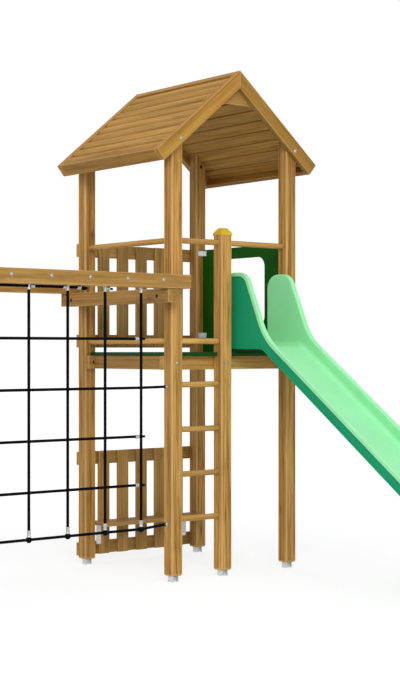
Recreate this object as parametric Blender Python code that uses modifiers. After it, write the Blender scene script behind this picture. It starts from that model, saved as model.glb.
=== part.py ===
"""Play tower: a roofed timber platform with a ladder, a slide and a climbing-net bay.

The origin is the underside of the steel foot below the front left post. X runs along the
front of the tower, Y runs back through it and Z is up. The slide leaves towards -Y and the
net bay stands on the -X side. Units are metres.
"""

import math

import bmesh
import bpy
import numpy as np
from mathutils import Matrix, Vector

# Clearance left between pieces that touch
GAP = 0.0003

# Tower posts
SPAN_X = 1.000
SPAN_Y = 1.000
POST = 0.090
POST_CHAMFER = 0.010
LADDER_POST_X = 0.419
LADDER_POST_ABOVE_DECK = 0.795

# Steel feet
FOOT_HEIGHT = 0.040
FOOT_SIZE = 0.050
FOOT_STEEL = 0.006

# Plastic post cap
CAP_WALL = 0.0023
CAP_SKIRT = 0.015
CAP_RISE = 0.034
CAP_FLAT = 0.045
CAP_POCKET = 0.012

# Platform
DECK_TOP = 1.500
DECK_THICK = 0.025
DECK_PAST_CENTRE = 0.005
DECK_NOTCH_CLEAR = 0.002
BEAM_DEPTH = 0.090
BEAM_THICK = 0.045

# Round rungs and rails
ROUND_DIA = 0.038
RUNG_COUNT = 4
FIRST_RUNG_Z = 0.405
TOP_RUNG_BELOW_DECK = 0.213
THRESHOLD_ABOVE_DECK = 0.073
TOP_RAIL_ABOVE_DECK = 0.734

# Boards of the two rear barriers
BOARD_WIDE = 0.092
BOARD_THICK = 0.022
SLAT_COUNT = 5
BARRIER_TOP_ABOVE_DECK = 0.767
BARRIER_FOOT_ABOVE_DECK = 0.032
LOW_BARRIER_TOP = 0.792
LOW_BARRIER_BOTTOM = 0.058

# Bench below the platform
BENCH_TOP = 0.300
BENCH_THICK = 0.025
BENCH_DEPTH = 0.200
BENCH_END_CLEAR = 0.005
BRACKET_STEEL = 0.004
BRACKET_WIDE = 0.040
BRACKET_PAST_SLAT = 0.025
BRACKET_LEG = 0.145
BRACKET_ARM = 0.150

# Side panel with a window
PANEL_THICK = 0.015
PANEL_PAST_CENTRE = 0.015
PANEL_TOP_ABOVE_DECK = 0.762
PANEL_FOOT_ABOVE_DECK = -0.005
WINDOW_STILE = 0.210
WINDOW_SILL = 0.190
WINDOW_HEAD = 0.082
WINDOW_RADIUS = 0.070
ANGLE_LEG = 0.045
ANGLE_STEEL = 0.004
ANGLE_HIGH = 0.038
ANGLE_INSET = 0.008
ANGLE_RISE = 0.110

# Slide
SLIDE_POST_CLEAR = 0.0345
SLIDE_BACK = 0.083
SLIDE_RAISE = 0.045
SLIDE_FOLD = 0.278
SLIDE_ANGLE = math.radians(35.0)
SLIDE_FOLD_RADIUS = 0.150
SLIDE_KNEE_RADIUS = 0.450
RUNOUT_Z = 0.220
RUNOUT_LONG = 0.450
SLIDE_SHELL = 0.006
SLIDE_SKIRT = 0.008
HEM_ABOVE_DECK = 0.020
HEM_FOLD_RADIUS = 0.080
RIM_WIDE = 0.035
RIM_RADIUS = 0.010
RIM_HIGH = 0.102
END_LIP = 0.025
END_RADIUS = 0.050
BED_FILLET = 0.060
WING_HIGH = 0.491
WING_LONG = 0.2244
WING_BACK_RADIUS = 0.090
WING_FRONT_RADIUS = 0.090
WING_ANGLE = math.radians(65.24)
WING_FOOT_RADIUS = 0.250
BATTEN_DEEP = 0.065
BATTEN_INSET = 0.015
STAND_TUBE = 0.040
STAND_FROM_END = 0.140
STAND_INSET = 0.020

# Roof
ROOF_PITCH = math.radians(40.0)
EAVE_OVERHANG = 0.194
EAVE_ABOVE_DECK = 1.308
BARGE_DEPTH = 0.090
BARGE_THICK = 0.0435
ROOF_SETBACK = 0.005
ROOF_BOARD_THICK = 0.028
ROOF_BOARD_PITCH = 0.0929
ROOF_CROWN = 0.008
ROOF_GROOVE = 0.004
FASCIA_THICK = 0.028
GUSSET_THICK = 0.022
GUSSET_DROP = 0.225

# Climbing-net bay
BAY_LONG = 1.765
BAY_BEAM = 0.090
BAY_BEAM_ABOVE_DECK = 0.502
BAY_POST_ABOVE_BEAM = 0.098
CROSS_BEAM_PAST_POST = 0.080
ROPE_DIA = 0.016
ROPE_SIDES = 8
NET_COLUMNS = 5
NET_PITCH = 0.278
NET_TOP_ROPE_DROP = 0.012
NET_ROWS_BELOW_BEAM = (0.327, 0.637, 0.946, 1.254, 1.535)
NET_ANCHORED_ROWS = (1, 4)
NET_STUB = 0.033
NET_TAIL = 0.030
NET_ANCHOR_Y = 0.010
NET_ANCHOR_CLEAR = 0.006
BALL_DIA = 0.045

HALF = POST / 2
LADDER_FACE = LADDER_POST_X + HALF
LADDER_POST_TOP = DECK_TOP + LADDER_POST_ABOVE_DECK
BEAM_TOP = DECK_TOP - DECK_THICK - GAP
RUNG_STEP = (DECK_TOP - TOP_RUNG_BELOW_DECK - FIRST_RUNG_Z) / (RUNG_COUNT - 1)
THRESHOLD_Z = DECK_TOP + THRESHOLD_ABOVE_DECK
TOP_RAIL_Z = DECK_TOP + TOP_RAIL_ABOVE_DECK
BARRIER_TOP = DECK_TOP + BARRIER_TOP_ABOVE_DECK
BARRIER_BOTTOM = DECK_TOP + BARRIER_FOOT_ABOVE_DECK
PANEL_TOP = DECK_TOP + PANEL_TOP_ABOVE_DECK
PANEL_BOTTOM = DECK_TOP + PANEL_FOOT_ABOVE_DECK
BARRIER_FACE = SPAN_Y + HALF
SLAT_FRONT = BARRIER_FACE - BOARD_THICK
RIDGE_X = SPAN_X / 2
ROOF_HALF = RIDGE_X + EAVE_OVERHANG
RIDGE_Z = DECK_TOP + EAVE_ABOVE_DECK + ROOF_HALF * math.tan(ROOF_PITCH)
ROOF_UNDER = ROOF_SETBACK + ROOF_BOARD_THICK
BAY_POST_X = -BAY_LONG
BAY_BEAM_TOP = DECK_TOP + BAY_BEAM_ABOVE_DECK
BAY_POST_TOP = BAY_BEAM_TOP + BAY_POST_ABOVE_BEAM
NET_Y = -HALF - BAY_BEAM / 2


def clear_scene():
    """Remove whatever the file holds."""
    for item in list(bpy.data.objects):
        bpy.data.objects.remove(item, do_unlink=True)


def make_collection(name):
    collection = bpy.data.collections.new(name)
    bpy.context.scene.collection.children.link(collection)
    return collection


def make_material(name, colour, roughness, metallic=0.0):
    """A plain Principled material."""
    material = bpy.data.materials.new(name)
    material.use_nodes = True
    shader = material.node_tree.nodes["Principled BSDF"]
    shader.inputs["Base Color"].default_value = (*colour, 1.0)
    shader.inputs["Roughness"].default_value = roughness
    shader.inputs["Metallic"].default_value = metallic
    return material


clear_scene()
TOWER = make_collection("play_tower")
CUTTERS = make_collection("cutters")
TIMBER = make_material("timber", (0.43, 0.22, 0.06), 0.60)
BOARD = make_material("barrier_board", (0.36, 0.19, 0.06), 0.65)
GREEN_PANEL = make_material("green_panel", (0.006, 0.09, 0.012), 0.45)
SLIDE_PLASTIC = make_material("slide_plastic", (0.20, 0.66, 0.26), 0.30)
CAP_PLASTIC = make_material("cap_plastic", (0.80, 0.48, 0.02), 0.35)
STEEL = make_material("galvanised_steel", (0.60, 0.61, 0.62), 0.35, 1.0)
ROPE = make_material("rope", (0.012, 0.012, 0.013), 0.80)


def add_object(name, data, material, collection=TOWER):
    """Link an object with one material slot."""
    data.materials.append(material)
    item = bpy.data.objects.new(name, data)
    collection.objects.link(item)
    return item


def finish_mesh(name, bm):
    """Turn a bmesh into a mesh with outward faces."""
    bmesh.ops.recalc_face_normals(bm, faces=bm.faces)
    mesh = bpy.data.meshes.new(name)
    bm.to_mesh(mesh)
    bm.free()
    return mesh


def box(name, x, y, z, material, collection=TOWER):
    """A box between two limits on each axis, placed by its centre."""
    bm = bmesh.new()
    bmesh.ops.create_cube(bm, size=1.0)
    size = Vector((x[1] - x[0], y[1] - y[0], z[1] - z[0]))
    bmesh.ops.scale(bm, vec=size, verts=bm.verts)
    item = add_object(name, finish_mesh(name, bm), material, collection)
    item.location = ((x[0] + x[1]) / 2, (y[0] + y[1]) / 2, (z[0] + z[1]) / 2)
    return item


def round_bar(name, start, end, material):
    """A straight round bar with closed ends."""
    curve = bpy.data.curves.new(name, "CURVE")
    curve.dimensions = "3D"
    curve.bevel_depth = ROUND_DIA / 2
    curve.bevel_resolution = 4
    curve.use_fill_caps = True
    spline = curve.splines.new("POLY")
    spline.points.add(1)
    spline.points[0].co = (0.0, 0.0, 0.0, 1.0)
    spline.points[1].co = (*(Vector(end) - Vector(start)), 1.0)
    item = add_object(name, curve, material)
    item.location = start
    return item


def plate(name, outlines, thick, frame, material):
    """A flat plate: outlines in the frame's XY plane, thickness along its Z, centred."""
    curve = bpy.data.curves.new(name, "CURVE")
    curve.dimensions = "2D"
    curve.fill_mode = "BOTH"
    curve.extrude = thick / 2
    for outline in outlines:
        spline = curve.splines.new("POLY")
        spline.points.add(len(outline) - 1)
        for point, place in zip(spline.points, outline):
            point.co = (place[0], place[1], 0.0, 1.0)
        spline.use_cyclic_u = True
    item = add_object(name, curve, material)
    item.matrix_world = frame
    return item


def facing_x(x):
    """A frame whose XY plane is the world's YZ plane at this x."""
    return Matrix(((0, 0, 1, x), (1, 0, 0, 0), (0, 1, 0, 0), (0, 0, 0, 1)))


def facing_y(y):
    """A frame whose XY plane is the world's XZ plane at this y."""
    return Matrix(((1, 0, 0, 0), (0, 0, -1, y), (0, 1, 0, 0), (0, 0, 0, 1)))


def rounded(corners, radii, steps=6):
    """Points along an outline whose corners are turned with arcs."""
    points = []
    count = len(corners)
    for index, radius in enumerate(radii):
        here = Vector(corners[index])
        if radius == 0:
            points.append(here)
            continue
        back = (Vector(corners[index - 1]) - here).normalized()
        ahead = (Vector(corners[(index + 1) % count]) - here).normalized()
        half_angle = back.angle(ahead) / 2
        centre = here + (back + ahead).normalized() * radius / math.sin(half_angle)
        start = here + back * radius / math.tan(half_angle) - centre
        finish = here + ahead * radius / math.tan(half_angle) - centre
        for step in range(steps + 1):
            points.append(centre + start.slerp(finish, step / steps) * radius)
    return points


def union(base, others):
    """Join meshes to the first one with Boolean modifiers."""
    for other in others:
        other.hide_render = True
        other.display_type = "WIRE"
        joint = base.modifiers.new("join_" + other.name, "BOOLEAN")
        joint.operation = "UNION"
        joint.solver = "EXACT"
        joint.object = other


def subtract(base, other):
    """Cut one mesh out of another."""
    other.hide_render = True
    other.display_type = "WIRE"
    cut = base.modifiers.new("cut_" + other.name, "BOOLEAN")
    cut.operation = "DIFFERENCE"
    cut.solver = "EXACT"
    cut.object = other


def roof_plane(side, depth):
    """A point on a roof slope's plane, that far below its top edge, and its outward normal."""
    normal = Vector((side * math.sin(ROOF_PITCH), 0.0, math.cos(ROOF_PITCH)))
    return Vector((RIDGE_X, 0.0, RIDGE_Z)) - normal * depth, normal


def post(name, x, y, top, roof_side=0):
    """A square post with chamfered edges. Under the roof its top is cut to the slope."""
    bm = bmesh.new()
    bmesh.ops.create_cube(bm, size=1.0)
    bmesh.ops.scale(bm, vec=(POST, POST, top - FOOT_HEIGHT), verts=bm.verts)
    bmesh.ops.translate(bm, vec=(0.0, 0.0, (top + FOOT_HEIGHT) / 2), verts=bm.verts)
    edges = [e for e in bm.edges if min(v.co.z for v in e.verts) < top - POST_CHAMFER]
    bmesh.ops.bevel(bm, geom=edges, offset=POST_CHAMFER, offset_type="OFFSET", segments=1,
                    profile=0.5, affect="EDGES", material=-1)
    if roof_side:
        point, normal = roof_plane(roof_side, ROOF_UNDER + GAP)
        point = point - Vector((x, y, 0.0))
        bmesh.ops.bisect_plane(bm, geom=bm.verts[:] + bm.edges[:] + bm.faces[:],
                               plane_co=point, plane_no=normal, clear_outer=True)
        bmesh.ops.holes_fill(bm, edges=[e for e in bm.edges if e.is_boundary])
    item = add_object(name, finish_mesh(name, bm), TIMBER)
    item.location = (x, y, 0.0)
    return item


def feet(places):
    """A short H-shaped steel profile below each post, its web along x."""
    reach = FOOT_SIZE / 2
    inner = reach - FOOT_STEEL
    web = FOOT_STEEL / 2
    outline = [
        (-reach, -reach), (-inner, -reach), (-inner, -web), (inner, -web),
        (inner, -reach), (reach, -reach), (reach, reach), (inner, reach),
        (inner, web), (-inner, web), (-inner, reach), (-reach, reach),
    ]
    height = FOOT_HEIGHT - GAP
    for name, x, y in places:
        plate(name, [outline], height, Matrix.Translation((x, y, height / 2)), STEEL)


def post_cap():
    """A moulded cap: a low pyramid on a skirt, hollow where the post goes in."""
    outer = HALF + GAP + CAP_WALL
    skirt_bottom = LADDER_POST_TOP + GAP - CAP_POCKET
    bm = bmesh.new()
    root = math.sqrt(2.0)
    bmesh.ops.create_cone(bm, cap_ends=True, segments=4, radius1=outer * root,
                          radius2=CAP_FLAT / 2 * root, depth=CAP_RISE,
                          matrix=Matrix.Rotation(math.radians(45.0), 4, "Z"))
    low = min(v.co.z for v in bm.verts)
    base = [f for f in bm.faces if all(v.co.z < low + 0.001 for v in f.verts)]
    grown = bmesh.ops.extrude_face_region(bm, geom=base)["geom"]
    bmesh.ops.delete(bm, geom=base, context="FACES")
    skirt = [v for v in grown if isinstance(v, bmesh.types.BMVert)]
    bmesh.ops.translate(bm, vec=(0.0, 0.0, -CAP_SKIRT), verts=skirt)
    bmesh.ops.translate(bm, vec=(0.0, 0.0, skirt_bottom + CAP_SKIRT - low), verts=bm.verts)
    cap = add_object("post_cap", finish_mesh("post_cap", bm), CAP_PLASTIC)
    cap.location = (LADDER_POST_X, 0.0, 0.0)
    pocket = HALF + GAP
    cutter = box("cap_pocket", (LADDER_POST_X - pocket, LADDER_POST_X + pocket),
                 (-pocket, pocket), (skirt_bottom - 0.010, LADDER_POST_TOP + GAP),
                 CAP_PLASTIC, CUTTERS)
    subtract(cap, cutter)


def posts():
    """Four corner posts, the ladder post, and two posts at the far end of the net bay."""
    far = SPAN_Y
    over = RIDGE_Z
    post("post_front_left", 0.0, 0.0, over, -1)
    post("post_front_right", SPAN_X, 0.0, over, 1)
    post("post_rear_left", 0.0, far, over, -1)
    post("post_rear_right", SPAN_X, far, over, 1)
    post("post_ladder", LADDER_POST_X, 0.0, LADDER_POST_TOP)
    post("post_bay_front", BAY_POST_X, 0.0, BAY_POST_TOP)
    post("post_bay_rear", BAY_POST_X, far, BAY_POST_TOP)
    post_cap()
    feet([
        ("foot_front_left", 0.0, 0.0), ("foot_front_right", SPAN_X, 0.0),
        ("foot_rear_left", 0.0, far), ("foot_rear_right", SPAN_X, far),
        ("foot_ladder", LADDER_POST_X, 0.0),
        ("foot_bay_front", BAY_POST_X, 0.0), ("foot_bay_rear", BAY_POST_X, far),
    ])


def deck():
    """The platform board, notched round the five tower posts."""
    near = HALF + DECK_NOTCH_CLEAR
    far_x = SPAN_X - near
    far_y = SPAN_Y - near
    low = -DECK_PAST_CENTRE
    high_x = SPAN_X + DECK_PAST_CENTRE
    high_y = SPAN_Y + DECK_PAST_CENTRE
    ladder_low = LADDER_POST_X - near
    ladder_high = LADDER_POST_X + near
    outline = [
        (near, low), (ladder_low, low), (ladder_low, near), (ladder_high, near),
        (ladder_high, low), (far_x, low), (far_x, near), (high_x, near),
        (high_x, far_y), (far_x, far_y), (far_x, high_y), (near, high_y),
        (near, far_y), (low, far_y), (low, near), (near, near),
    ]
    frame = Matrix.Translation((0.0, 0.0, DECK_TOP - DECK_THICK / 2))
    plate("deck_board", [outline], DECK_THICK, frame, GREEN_PANEL)


def platform():
    """Beams bolted inside the front and rear posts, two beams between them, and the deck."""
    z = (BEAM_TOP - BEAM_DEPTH, BEAM_TOP)
    along = (-HALF, SPAN_X + HALF)
    front = (HALF + GAP, HALF + GAP + BEAM_THICK)
    rear = (SPAN_Y - HALF - GAP - BEAM_THICK, SPAN_Y - HALF - GAP)
    across = (front[1] + GAP, rear[0] - GAP)
    box("platform_beam_front", along, front, z, TIMBER)
    box("platform_beam_rear", along, rear, z, TIMBER)
    box("platform_beam_left", (0.0, BEAM_THICK), across, z, TIMBER)
    box("platform_beam_right", (SPAN_X - BEAM_THICK, SPAN_X), across, z, TIMBER)
    deck()


def ladder_and_rails():
    """Round rungs and rails let in between the posts."""
    left = HALF + GAP
    right = LADDER_POST_X - HALF - GAP
    for index in range(RUNG_COUNT):
        z = FIRST_RUNG_Z + index * RUNG_STEP
        round_bar(f"ladder_rung_{index + 1}", (left, 0.0, z), (right, 0.0, z), TIMBER)
    round_bar("ladder_threshold", (left, 0.0, THRESHOLD_Z), (right, 0.0, THRESHOLD_Z), TIMBER)
    round_bar("rail_over_ladder", (left, 0.0, TOP_RAIL_Z), (right, 0.0, TOP_RAIL_Z), TIMBER)
    round_bar("rail_over_slide", (LADDER_FACE + GAP, 0.0, TOP_RAIL_Z),
              (SPAN_X - HALF - GAP, 0.0, TOP_RAIL_Z), TIMBER)
    back = SPAN_Y - HALF - GAP
    round_bar("rail_left_top", (0.0, left, TOP_RAIL_Z), (0.0, back, TOP_RAIL_Z), TIMBER)
    round_bar("rail_left_low", (0.0, left, THRESHOLD_Z), (0.0, back, THRESHOLD_Z), TIMBER)


def slat_limits():
    """The x limits of slats spaced evenly between the rear posts."""
    clear = SPAN_X - POST
    space = (clear - SLAT_COUNT * BOARD_WIDE) / (SLAT_COUNT + 1)
    first = HALF + space
    return [(first + i * (BOARD_WIDE + space), first + i * (BOARD_WIDE + space) + BOARD_WIDE)
            for i in range(SLAT_COUNT)]


def barriers():
    """The rear guard of two rails and five slats, and a like guard at the ground."""
    along = (-HALF, SPAN_X + HALF)
    rail_y = (BARRIER_FACE + GAP, BARRIER_FACE + GAP + BOARD_THICK)
    slat_y = (SLAT_FRONT, BARRIER_FACE)
    box("barrier_rail_top", along, rail_y, (BARRIER_TOP - BOARD_WIDE, BARRIER_TOP), BOARD)
    box("barrier_rail_bottom", along, rail_y, (BARRIER_BOTTOM, BARRIER_BOTTOM + BOARD_WIDE), BOARD)
    for index, x in enumerate(slat_limits()):
        box(f"barrier_slat_{index + 1}", x, slat_y, (BARRIER_BOTTOM, BARRIER_TOP), BOARD)
    low = box("low_barrier", along, rail_y, (LOW_BARRIER_BOTTOM, LOW_BARRIER_BOTTOM + BOARD_WIDE),
              BOARD)
    joined = (SLAT_FRONT, BARRIER_FACE + 2 * GAP)
    others = [box("low_rail", along, rail_y, (LOW_BARRIER_TOP - BOARD_WIDE, LOW_BARRIER_TOP),
                  BOARD, CUTTERS)]
    for index, x in enumerate(slat_limits()):
        others.append(box(f"low_slat_{index + 1}", x, joined,
                          (LOW_BARRIER_BOTTOM, LOW_BARRIER_TOP), BOARD, CUTTERS))
    union(low, others)


def bench():
    """A seat board against the low barrier on two bent steel brackets."""
    back = SLAT_FRONT - GAP
    ends = (HALF + BENCH_END_CLEAR, SPAN_X - HALF - BENCH_END_CLEAR)
    under = BENCH_TOP - BENCH_THICK
    box("bench_board", ends, (back - BENCH_DEPTH, back), (under, BENCH_TOP), TIMBER)
    top = under - GAP
    steel = BRACKET_STEEL
    outline = [
        (back, top), (back - BRACKET_ARM, top), (back - BRACKET_ARM, top - steel),
        (back - steel, top - steel), (back - steel, top - BRACKET_LEG), (back, top - BRACKET_LEG),
    ]
    place = slat_limits()[0][0] - BRACKET_PAST_SLAT + BRACKET_WIDE / 2
    for side, x in (("left", place), ("right", SPAN_X - place)):
        plate("bench_bracket_" + side, [outline], BRACKET_WIDE, facing_x(x), STEEL)


def side_panel():
    """A solid panel with a rounded window between the right posts, on steel angles."""
    low = HALF + GAP
    high = SPAN_Y - HALF - GAP
    outline = [(low, PANEL_BOTTOM), (high, PANEL_BOTTOM), (high, PANEL_TOP), (low, PANEL_TOP)]
    sides = (low + WINDOW_STILE, high - WINDOW_STILE)
    sill = PANEL_BOTTOM + WINDOW_SILL
    head = PANEL_TOP - WINDOW_HEAD
    corners = [(sides[0], sill), (sides[1], sill), (sides[1], head), (sides[0], head)]
    window = rounded(corners, [WINDOW_RADIUS] * 4)
    face = SPAN_X + PANEL_PAST_CENTRE
    plate("side_panel", [outline, window], PANEL_THICK, facing_x(face + PANEL_THICK / 2),
          GREEN_PANEL)
    corner_x = face - GAP
    corner_y = SPAN_Y - HALF - GAP
    steel = ANGLE_STEEL
    angle = [
        (corner_x, corner_y), (corner_x - ANGLE_LEG, corner_y),
        (corner_x - ANGLE_LEG, corner_y - steel), (corner_x - steel, corner_y - steel),
        (corner_x - steel, corner_y - ANGLE_LEG), (corner_x, corner_y - ANGLE_LEG),
    ]
    top = PANEL_TOP - ANGLE_INSET - ANGLE_HIGH / 2
    bottom = PANEL_BOTTOM + ANGLE_RISE + ANGLE_HIGH / 2
    for side, z in (("top", top), ("bottom", bottom)):
        plate("panel_bracket_" + side, [angle], ANGLE_HIGH, Matrix.Translation((0.0, 0.0, z)), STEEL)


def slide_lines():
    """The slide's bed, hem and rim seen from the side, as points (y, z) from back to front."""
    start_z = DECK_TOP + SLIDE_RAISE
    back = SLIDE_BACK
    fold = -SLIDE_FOLD
    knee = fold - (start_z - RUNOUT_Z) / math.tan(SLIDE_ANGLE)
    end = knee - RUNOUT_LONG
    bed = rounded([(back, start_z), (fold, start_z), (knee, RUNOUT_Z), (end, RUNOUT_Z)],
                  [0, SLIDE_FOLD_RADIUS, SLIDE_KNEE_RADIUS, 0])
    hem_z = DECK_TOP + HEM_ABOVE_DECK
    hem_fold = fold - (start_z - SLIDE_SKIRT - hem_z) / math.tan(SLIDE_ANGLE)
    hem_end = RUNOUT_Z - SLIDE_SKIRT
    hem = rounded([(back, hem_z), (hem_fold, hem_z), (knee, hem_end), (end, hem_end)],
                  [0, HEM_FOLD_RADIUS, SLIDE_KNEE_RADIUS, 0])
    wing_top = start_z + WING_HIGH
    wing_front = back - WING_LONG
    rim_slope = math.tan(SLIDE_ANGLE)
    wing_slope = math.tan(WING_ANGLE)
    rim_at_fold = start_z + RIM_HIGH
    drop = wing_top - rim_at_fold - rim_slope * (wing_front - fold)
    foot_y = wing_front - drop / (wing_slope - rim_slope)
    foot_z = wing_top - wing_slope * (wing_front - foot_y)
    rim = rounded(
        [(back, start_z), (back, wing_top), (wing_front, wing_top), (foot_y, foot_z),
         (knee, RUNOUT_Z + RIM_HIGH), (end, RUNOUT_Z + RIM_HIGH), (end, RUNOUT_Z + END_LIP)],
        [0, WING_BACK_RADIUS, WING_FRONT_RADIUS, WING_FOOT_RADIUS, SLIDE_KNEE_RADIUS,
         END_RADIUS, 0])
    return bed, hem, rim[1:]


def height_at(line, y):
    """The height of a line that runs towards -y."""
    places = [-point[0] for point in line]
    heights = [point[1] for point in line]
    return float(np.interp(-y, places, heights))


def slide_section(half_wide, rim_height, hem_depth):
    """Half of the slide's cross-section from bed edge to hem, as points (x, height)."""
    rim = min(RIM_RADIUS, rim_height / 3)
    inner = half_wide - RIM_WIDE
    rise = min(BED_FILLET, rim_height - rim)
    points = [(inner - BED_FILLET, 0.0)]
    for step in range(1, 5):
        turn = math.radians(90.0) * step / 4
        points.append((inner - BED_FILLET + BED_FILLET * math.sin(turn),
                       rise * (1.0 - math.cos(turn))))
    if rim_height - rim > rise + 0.001:
        points.append((inner, rim_height - rim))
    else:
        points.append((inner, rise + 0.0005))
    for step in (1, 2):
        turn = math.radians(90.0) * step / 2
        points.append((inner + rim - rim * math.cos(turn),
                       rim_height - rim + rim * math.sin(turn)))
    for step in (0, 1, 2):
        turn = math.radians(90.0) * step / 2
        points.append((half_wide - rim + rim * math.sin(turn),
                       rim_height - rim + rim * math.cos(turn)))
    points.append((half_wide, -hem_depth))
    return points


def slide():
    """A moulded shell: bed, side walls with a wide rolled rim, and skirts down to the bed."""
    bed, hem, rim = slide_lines()
    places = sorted({round(p[0], 5) for p in bed + hem + rim}, reverse=True)
    stations = [places[0]]
    for y in places[1:]:
        if stations[-1] - y > 0.002:
            stations.append(y)
    stations[-1] = places[-1]
    half_wide = (SPAN_X - HALF - LADDER_FACE) / 2 - SLIDE_POST_CLEAR
    bm = bmesh.new()
    rings = []
    for y in stations:
        floor = height_at(bed, y)
        half = slide_section(half_wide, height_at(rim, y) - floor, floor - height_at(hem, y))
        both = [(-x, z) for x, z in reversed(half)] + half
        rings.append([bm.verts.new((x, y, floor + z)) for x, z in both])
    for ahead, behind in zip(rings, rings[1:]):
        for index in range(len(ahead) - 1):
            bm.faces.new((ahead[index], ahead[index + 1], behind[index + 1], behind[index]))
    bm.faces.new(rings[0])
    bm.faces.new(list(reversed(rings[-1])))
    bmesh.ops.recalc_face_normals(bm, faces=bm.faces)
    mesh = bpy.data.meshes.new("slide")
    bm.to_mesh(mesh)
    bm.free()
    if mesh.polygons[len(rings[0]) // 2].normal.z < 0:
        mesh.flip_normals()
    item = add_object("slide", mesh, SLIDE_PLASTIC)
    item.location = ((LADDER_FACE + SPAN_X - HALF) / 2, 0.0, 0.0)
    shell = item.modifiers.new("shell", "SOLIDIFY")
    shell.thickness = SLIDE_SHELL
    shell.offset = -1.0
    shell.use_even_offset = True
    return stations[-1], half_wide


def slide_supports(end_y, half_wide):
    """The batten below the slide's start and the steel stand below its run-out."""
    middle = (LADDER_FACE + SPAN_X - HALF) / 2
    reach = half_wide - BATTEN_INSET
    box("slide_batten", (middle - reach, middle + reach), (0.0, BATTEN_DEEP),
        (DECK_TOP + GAP, DECK_TOP + SLIDE_RAISE - SLIDE_SHELL - GAP), GREEN_PANEL)
    top = RUNOUT_Z - SLIDE_SKIRT - GAP
    y = (end_y + STAND_FROM_END, end_y + STAND_FROM_END + STAND_TUBE)
    stand = box("slide_stand", (middle - half_wide, middle + half_wide), y,
                (top - STAND_TUBE, top), STEEL)
    legs = []
    for side in (-1, 1):
        centre = middle + side * (half_wide - STAND_INSET - STAND_TUBE / 2)
        legs.append(box(f"stand_leg_{side + 2}", (centre - STAND_TUBE / 2, centre + STAND_TUBE / 2),
                        (y[0] + 0.001, y[1] - 0.001), (0.0, top - STAND_TUBE / 2), STEEL, CUTTERS))
    union(stand, legs)


def on_slope(side, along, out):
    """A point (x, z) on a roof slope: distance down it from the ridge and out from its edge."""
    cos, sin = math.cos(ROOF_PITCH), math.sin(ROOF_PITCH)
    return (RIDGE_X + side * (along * cos + out * sin), RIDGE_Z - along * sin + out * cos)


def roof_slope(name, side, start_top, start_bottom):
    """One slope of convex boards laid side by side, with V grooves above and below."""
    end = ROOF_HALF / math.cos(ROOF_PITCH) - FASCIA_THICK - GAP
    top = -ROOF_SETBACK
    bottom = -ROOF_UNDER
    joints = [end]
    while joints[-1] - ROOF_BOARD_PITCH > start_top + 0.010:
        joints.append(joints[-1] - ROOF_BOARD_PITCH)
    outline = [on_slope(side, end, bottom), on_slope(side, end, top - ROOF_CROWN)]
    for low, high in zip(joints, joints[1:] + [start_top]):
        for step in range(1, 4):
            share = step / 4
            bulge = math.sin(math.pi * share) * ROOF_CROWN
            outline.append(on_slope(side, low + share * (high - low), top - ROOF_CROWN + bulge))
        if high > start_top:
            outline.append(on_slope(side, high, top - ROOF_CROWN))
    outline.append(on_slope(side, start_top, top))
    outline.append(on_slope(side, start_bottom, bottom))
    for joint in reversed(joints[1:]):
        outline.append(on_slope(side, joint - ROOF_GROOVE, bottom))
        outline.append(on_slope(side, joint, bottom + ROOF_GROOVE))
        outline.append(on_slope(side, joint + ROOF_GROOVE, bottom))
    length = SPAN_Y + POST
    plate(name, [outline], length, facing_y(SPAN_Y / 2), TIMBER)


def roof():
    """Two board slopes between barge boards, with eave fascias and an apex gusset."""
    slope = ROOF_HALF / math.cos(ROOF_PITCH)
    meet = ROOF_UNDER * math.tan(ROOF_PITCH)
    lap = ROOF_UNDER / math.sin(2 * ROOF_PITCH)
    roof_slope("roof_slope_right", 1, 0.0, 0.0)
    roof_slope("roof_slope_left", -1, lap + GAP, meet + 2 * GAP)
    length = SPAN_Y + POST
    for side, word in ((-1, "left"), (1, "right")):
        inner = slope - FASCIA_THICK
        edge = [on_slope(side, inner, 0.0), on_slope(side, slope, 0.0),
                on_slope(side, slope, -BARGE_DEPTH), on_slope(side, inner, -BARGE_DEPTH)]
        plate("fascia_" + word, [edge], length, facing_y(SPAN_Y / 2), TIMBER)
        board = [
            (RIDGE_X + side * GAP / 2, RIDGE_Z), on_slope(side, slope, 0.0),
            on_slope(side, slope, -BARGE_DEPTH),
            (RIDGE_X + side * GAP / 2, RIDGE_Z - BARGE_DEPTH / math.cos(ROOF_PITCH)),
        ]
        front = -HALF - GAP - BARGE_THICK / 2
        rear = SPAN_Y + HALF + GAP + BARGE_THICK / 2
        plate("barge_front_" + word, [board], BARGE_THICK, facing_y(front), TIMBER)
        plate("barge_rear_" + word, [board], BARGE_THICK, facing_y(rear), TIMBER)
    peak = RIDGE_Z - (ROOF_UNDER + GAP) / math.cos(ROOF_PITCH)
    bottom = RIDGE_Z - GUSSET_DROP
    reach = (peak - bottom) / math.tan(ROOF_PITCH)
    gusset = [(RIDGE_X, peak), (RIDGE_X - reach, bottom), (RIDGE_X + reach, bottom)]
    plate("apex_gusset", [gusset], GUSSET_THICK, facing_y(-HALF + GUSSET_THICK / 2), TIMBER)


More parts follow.
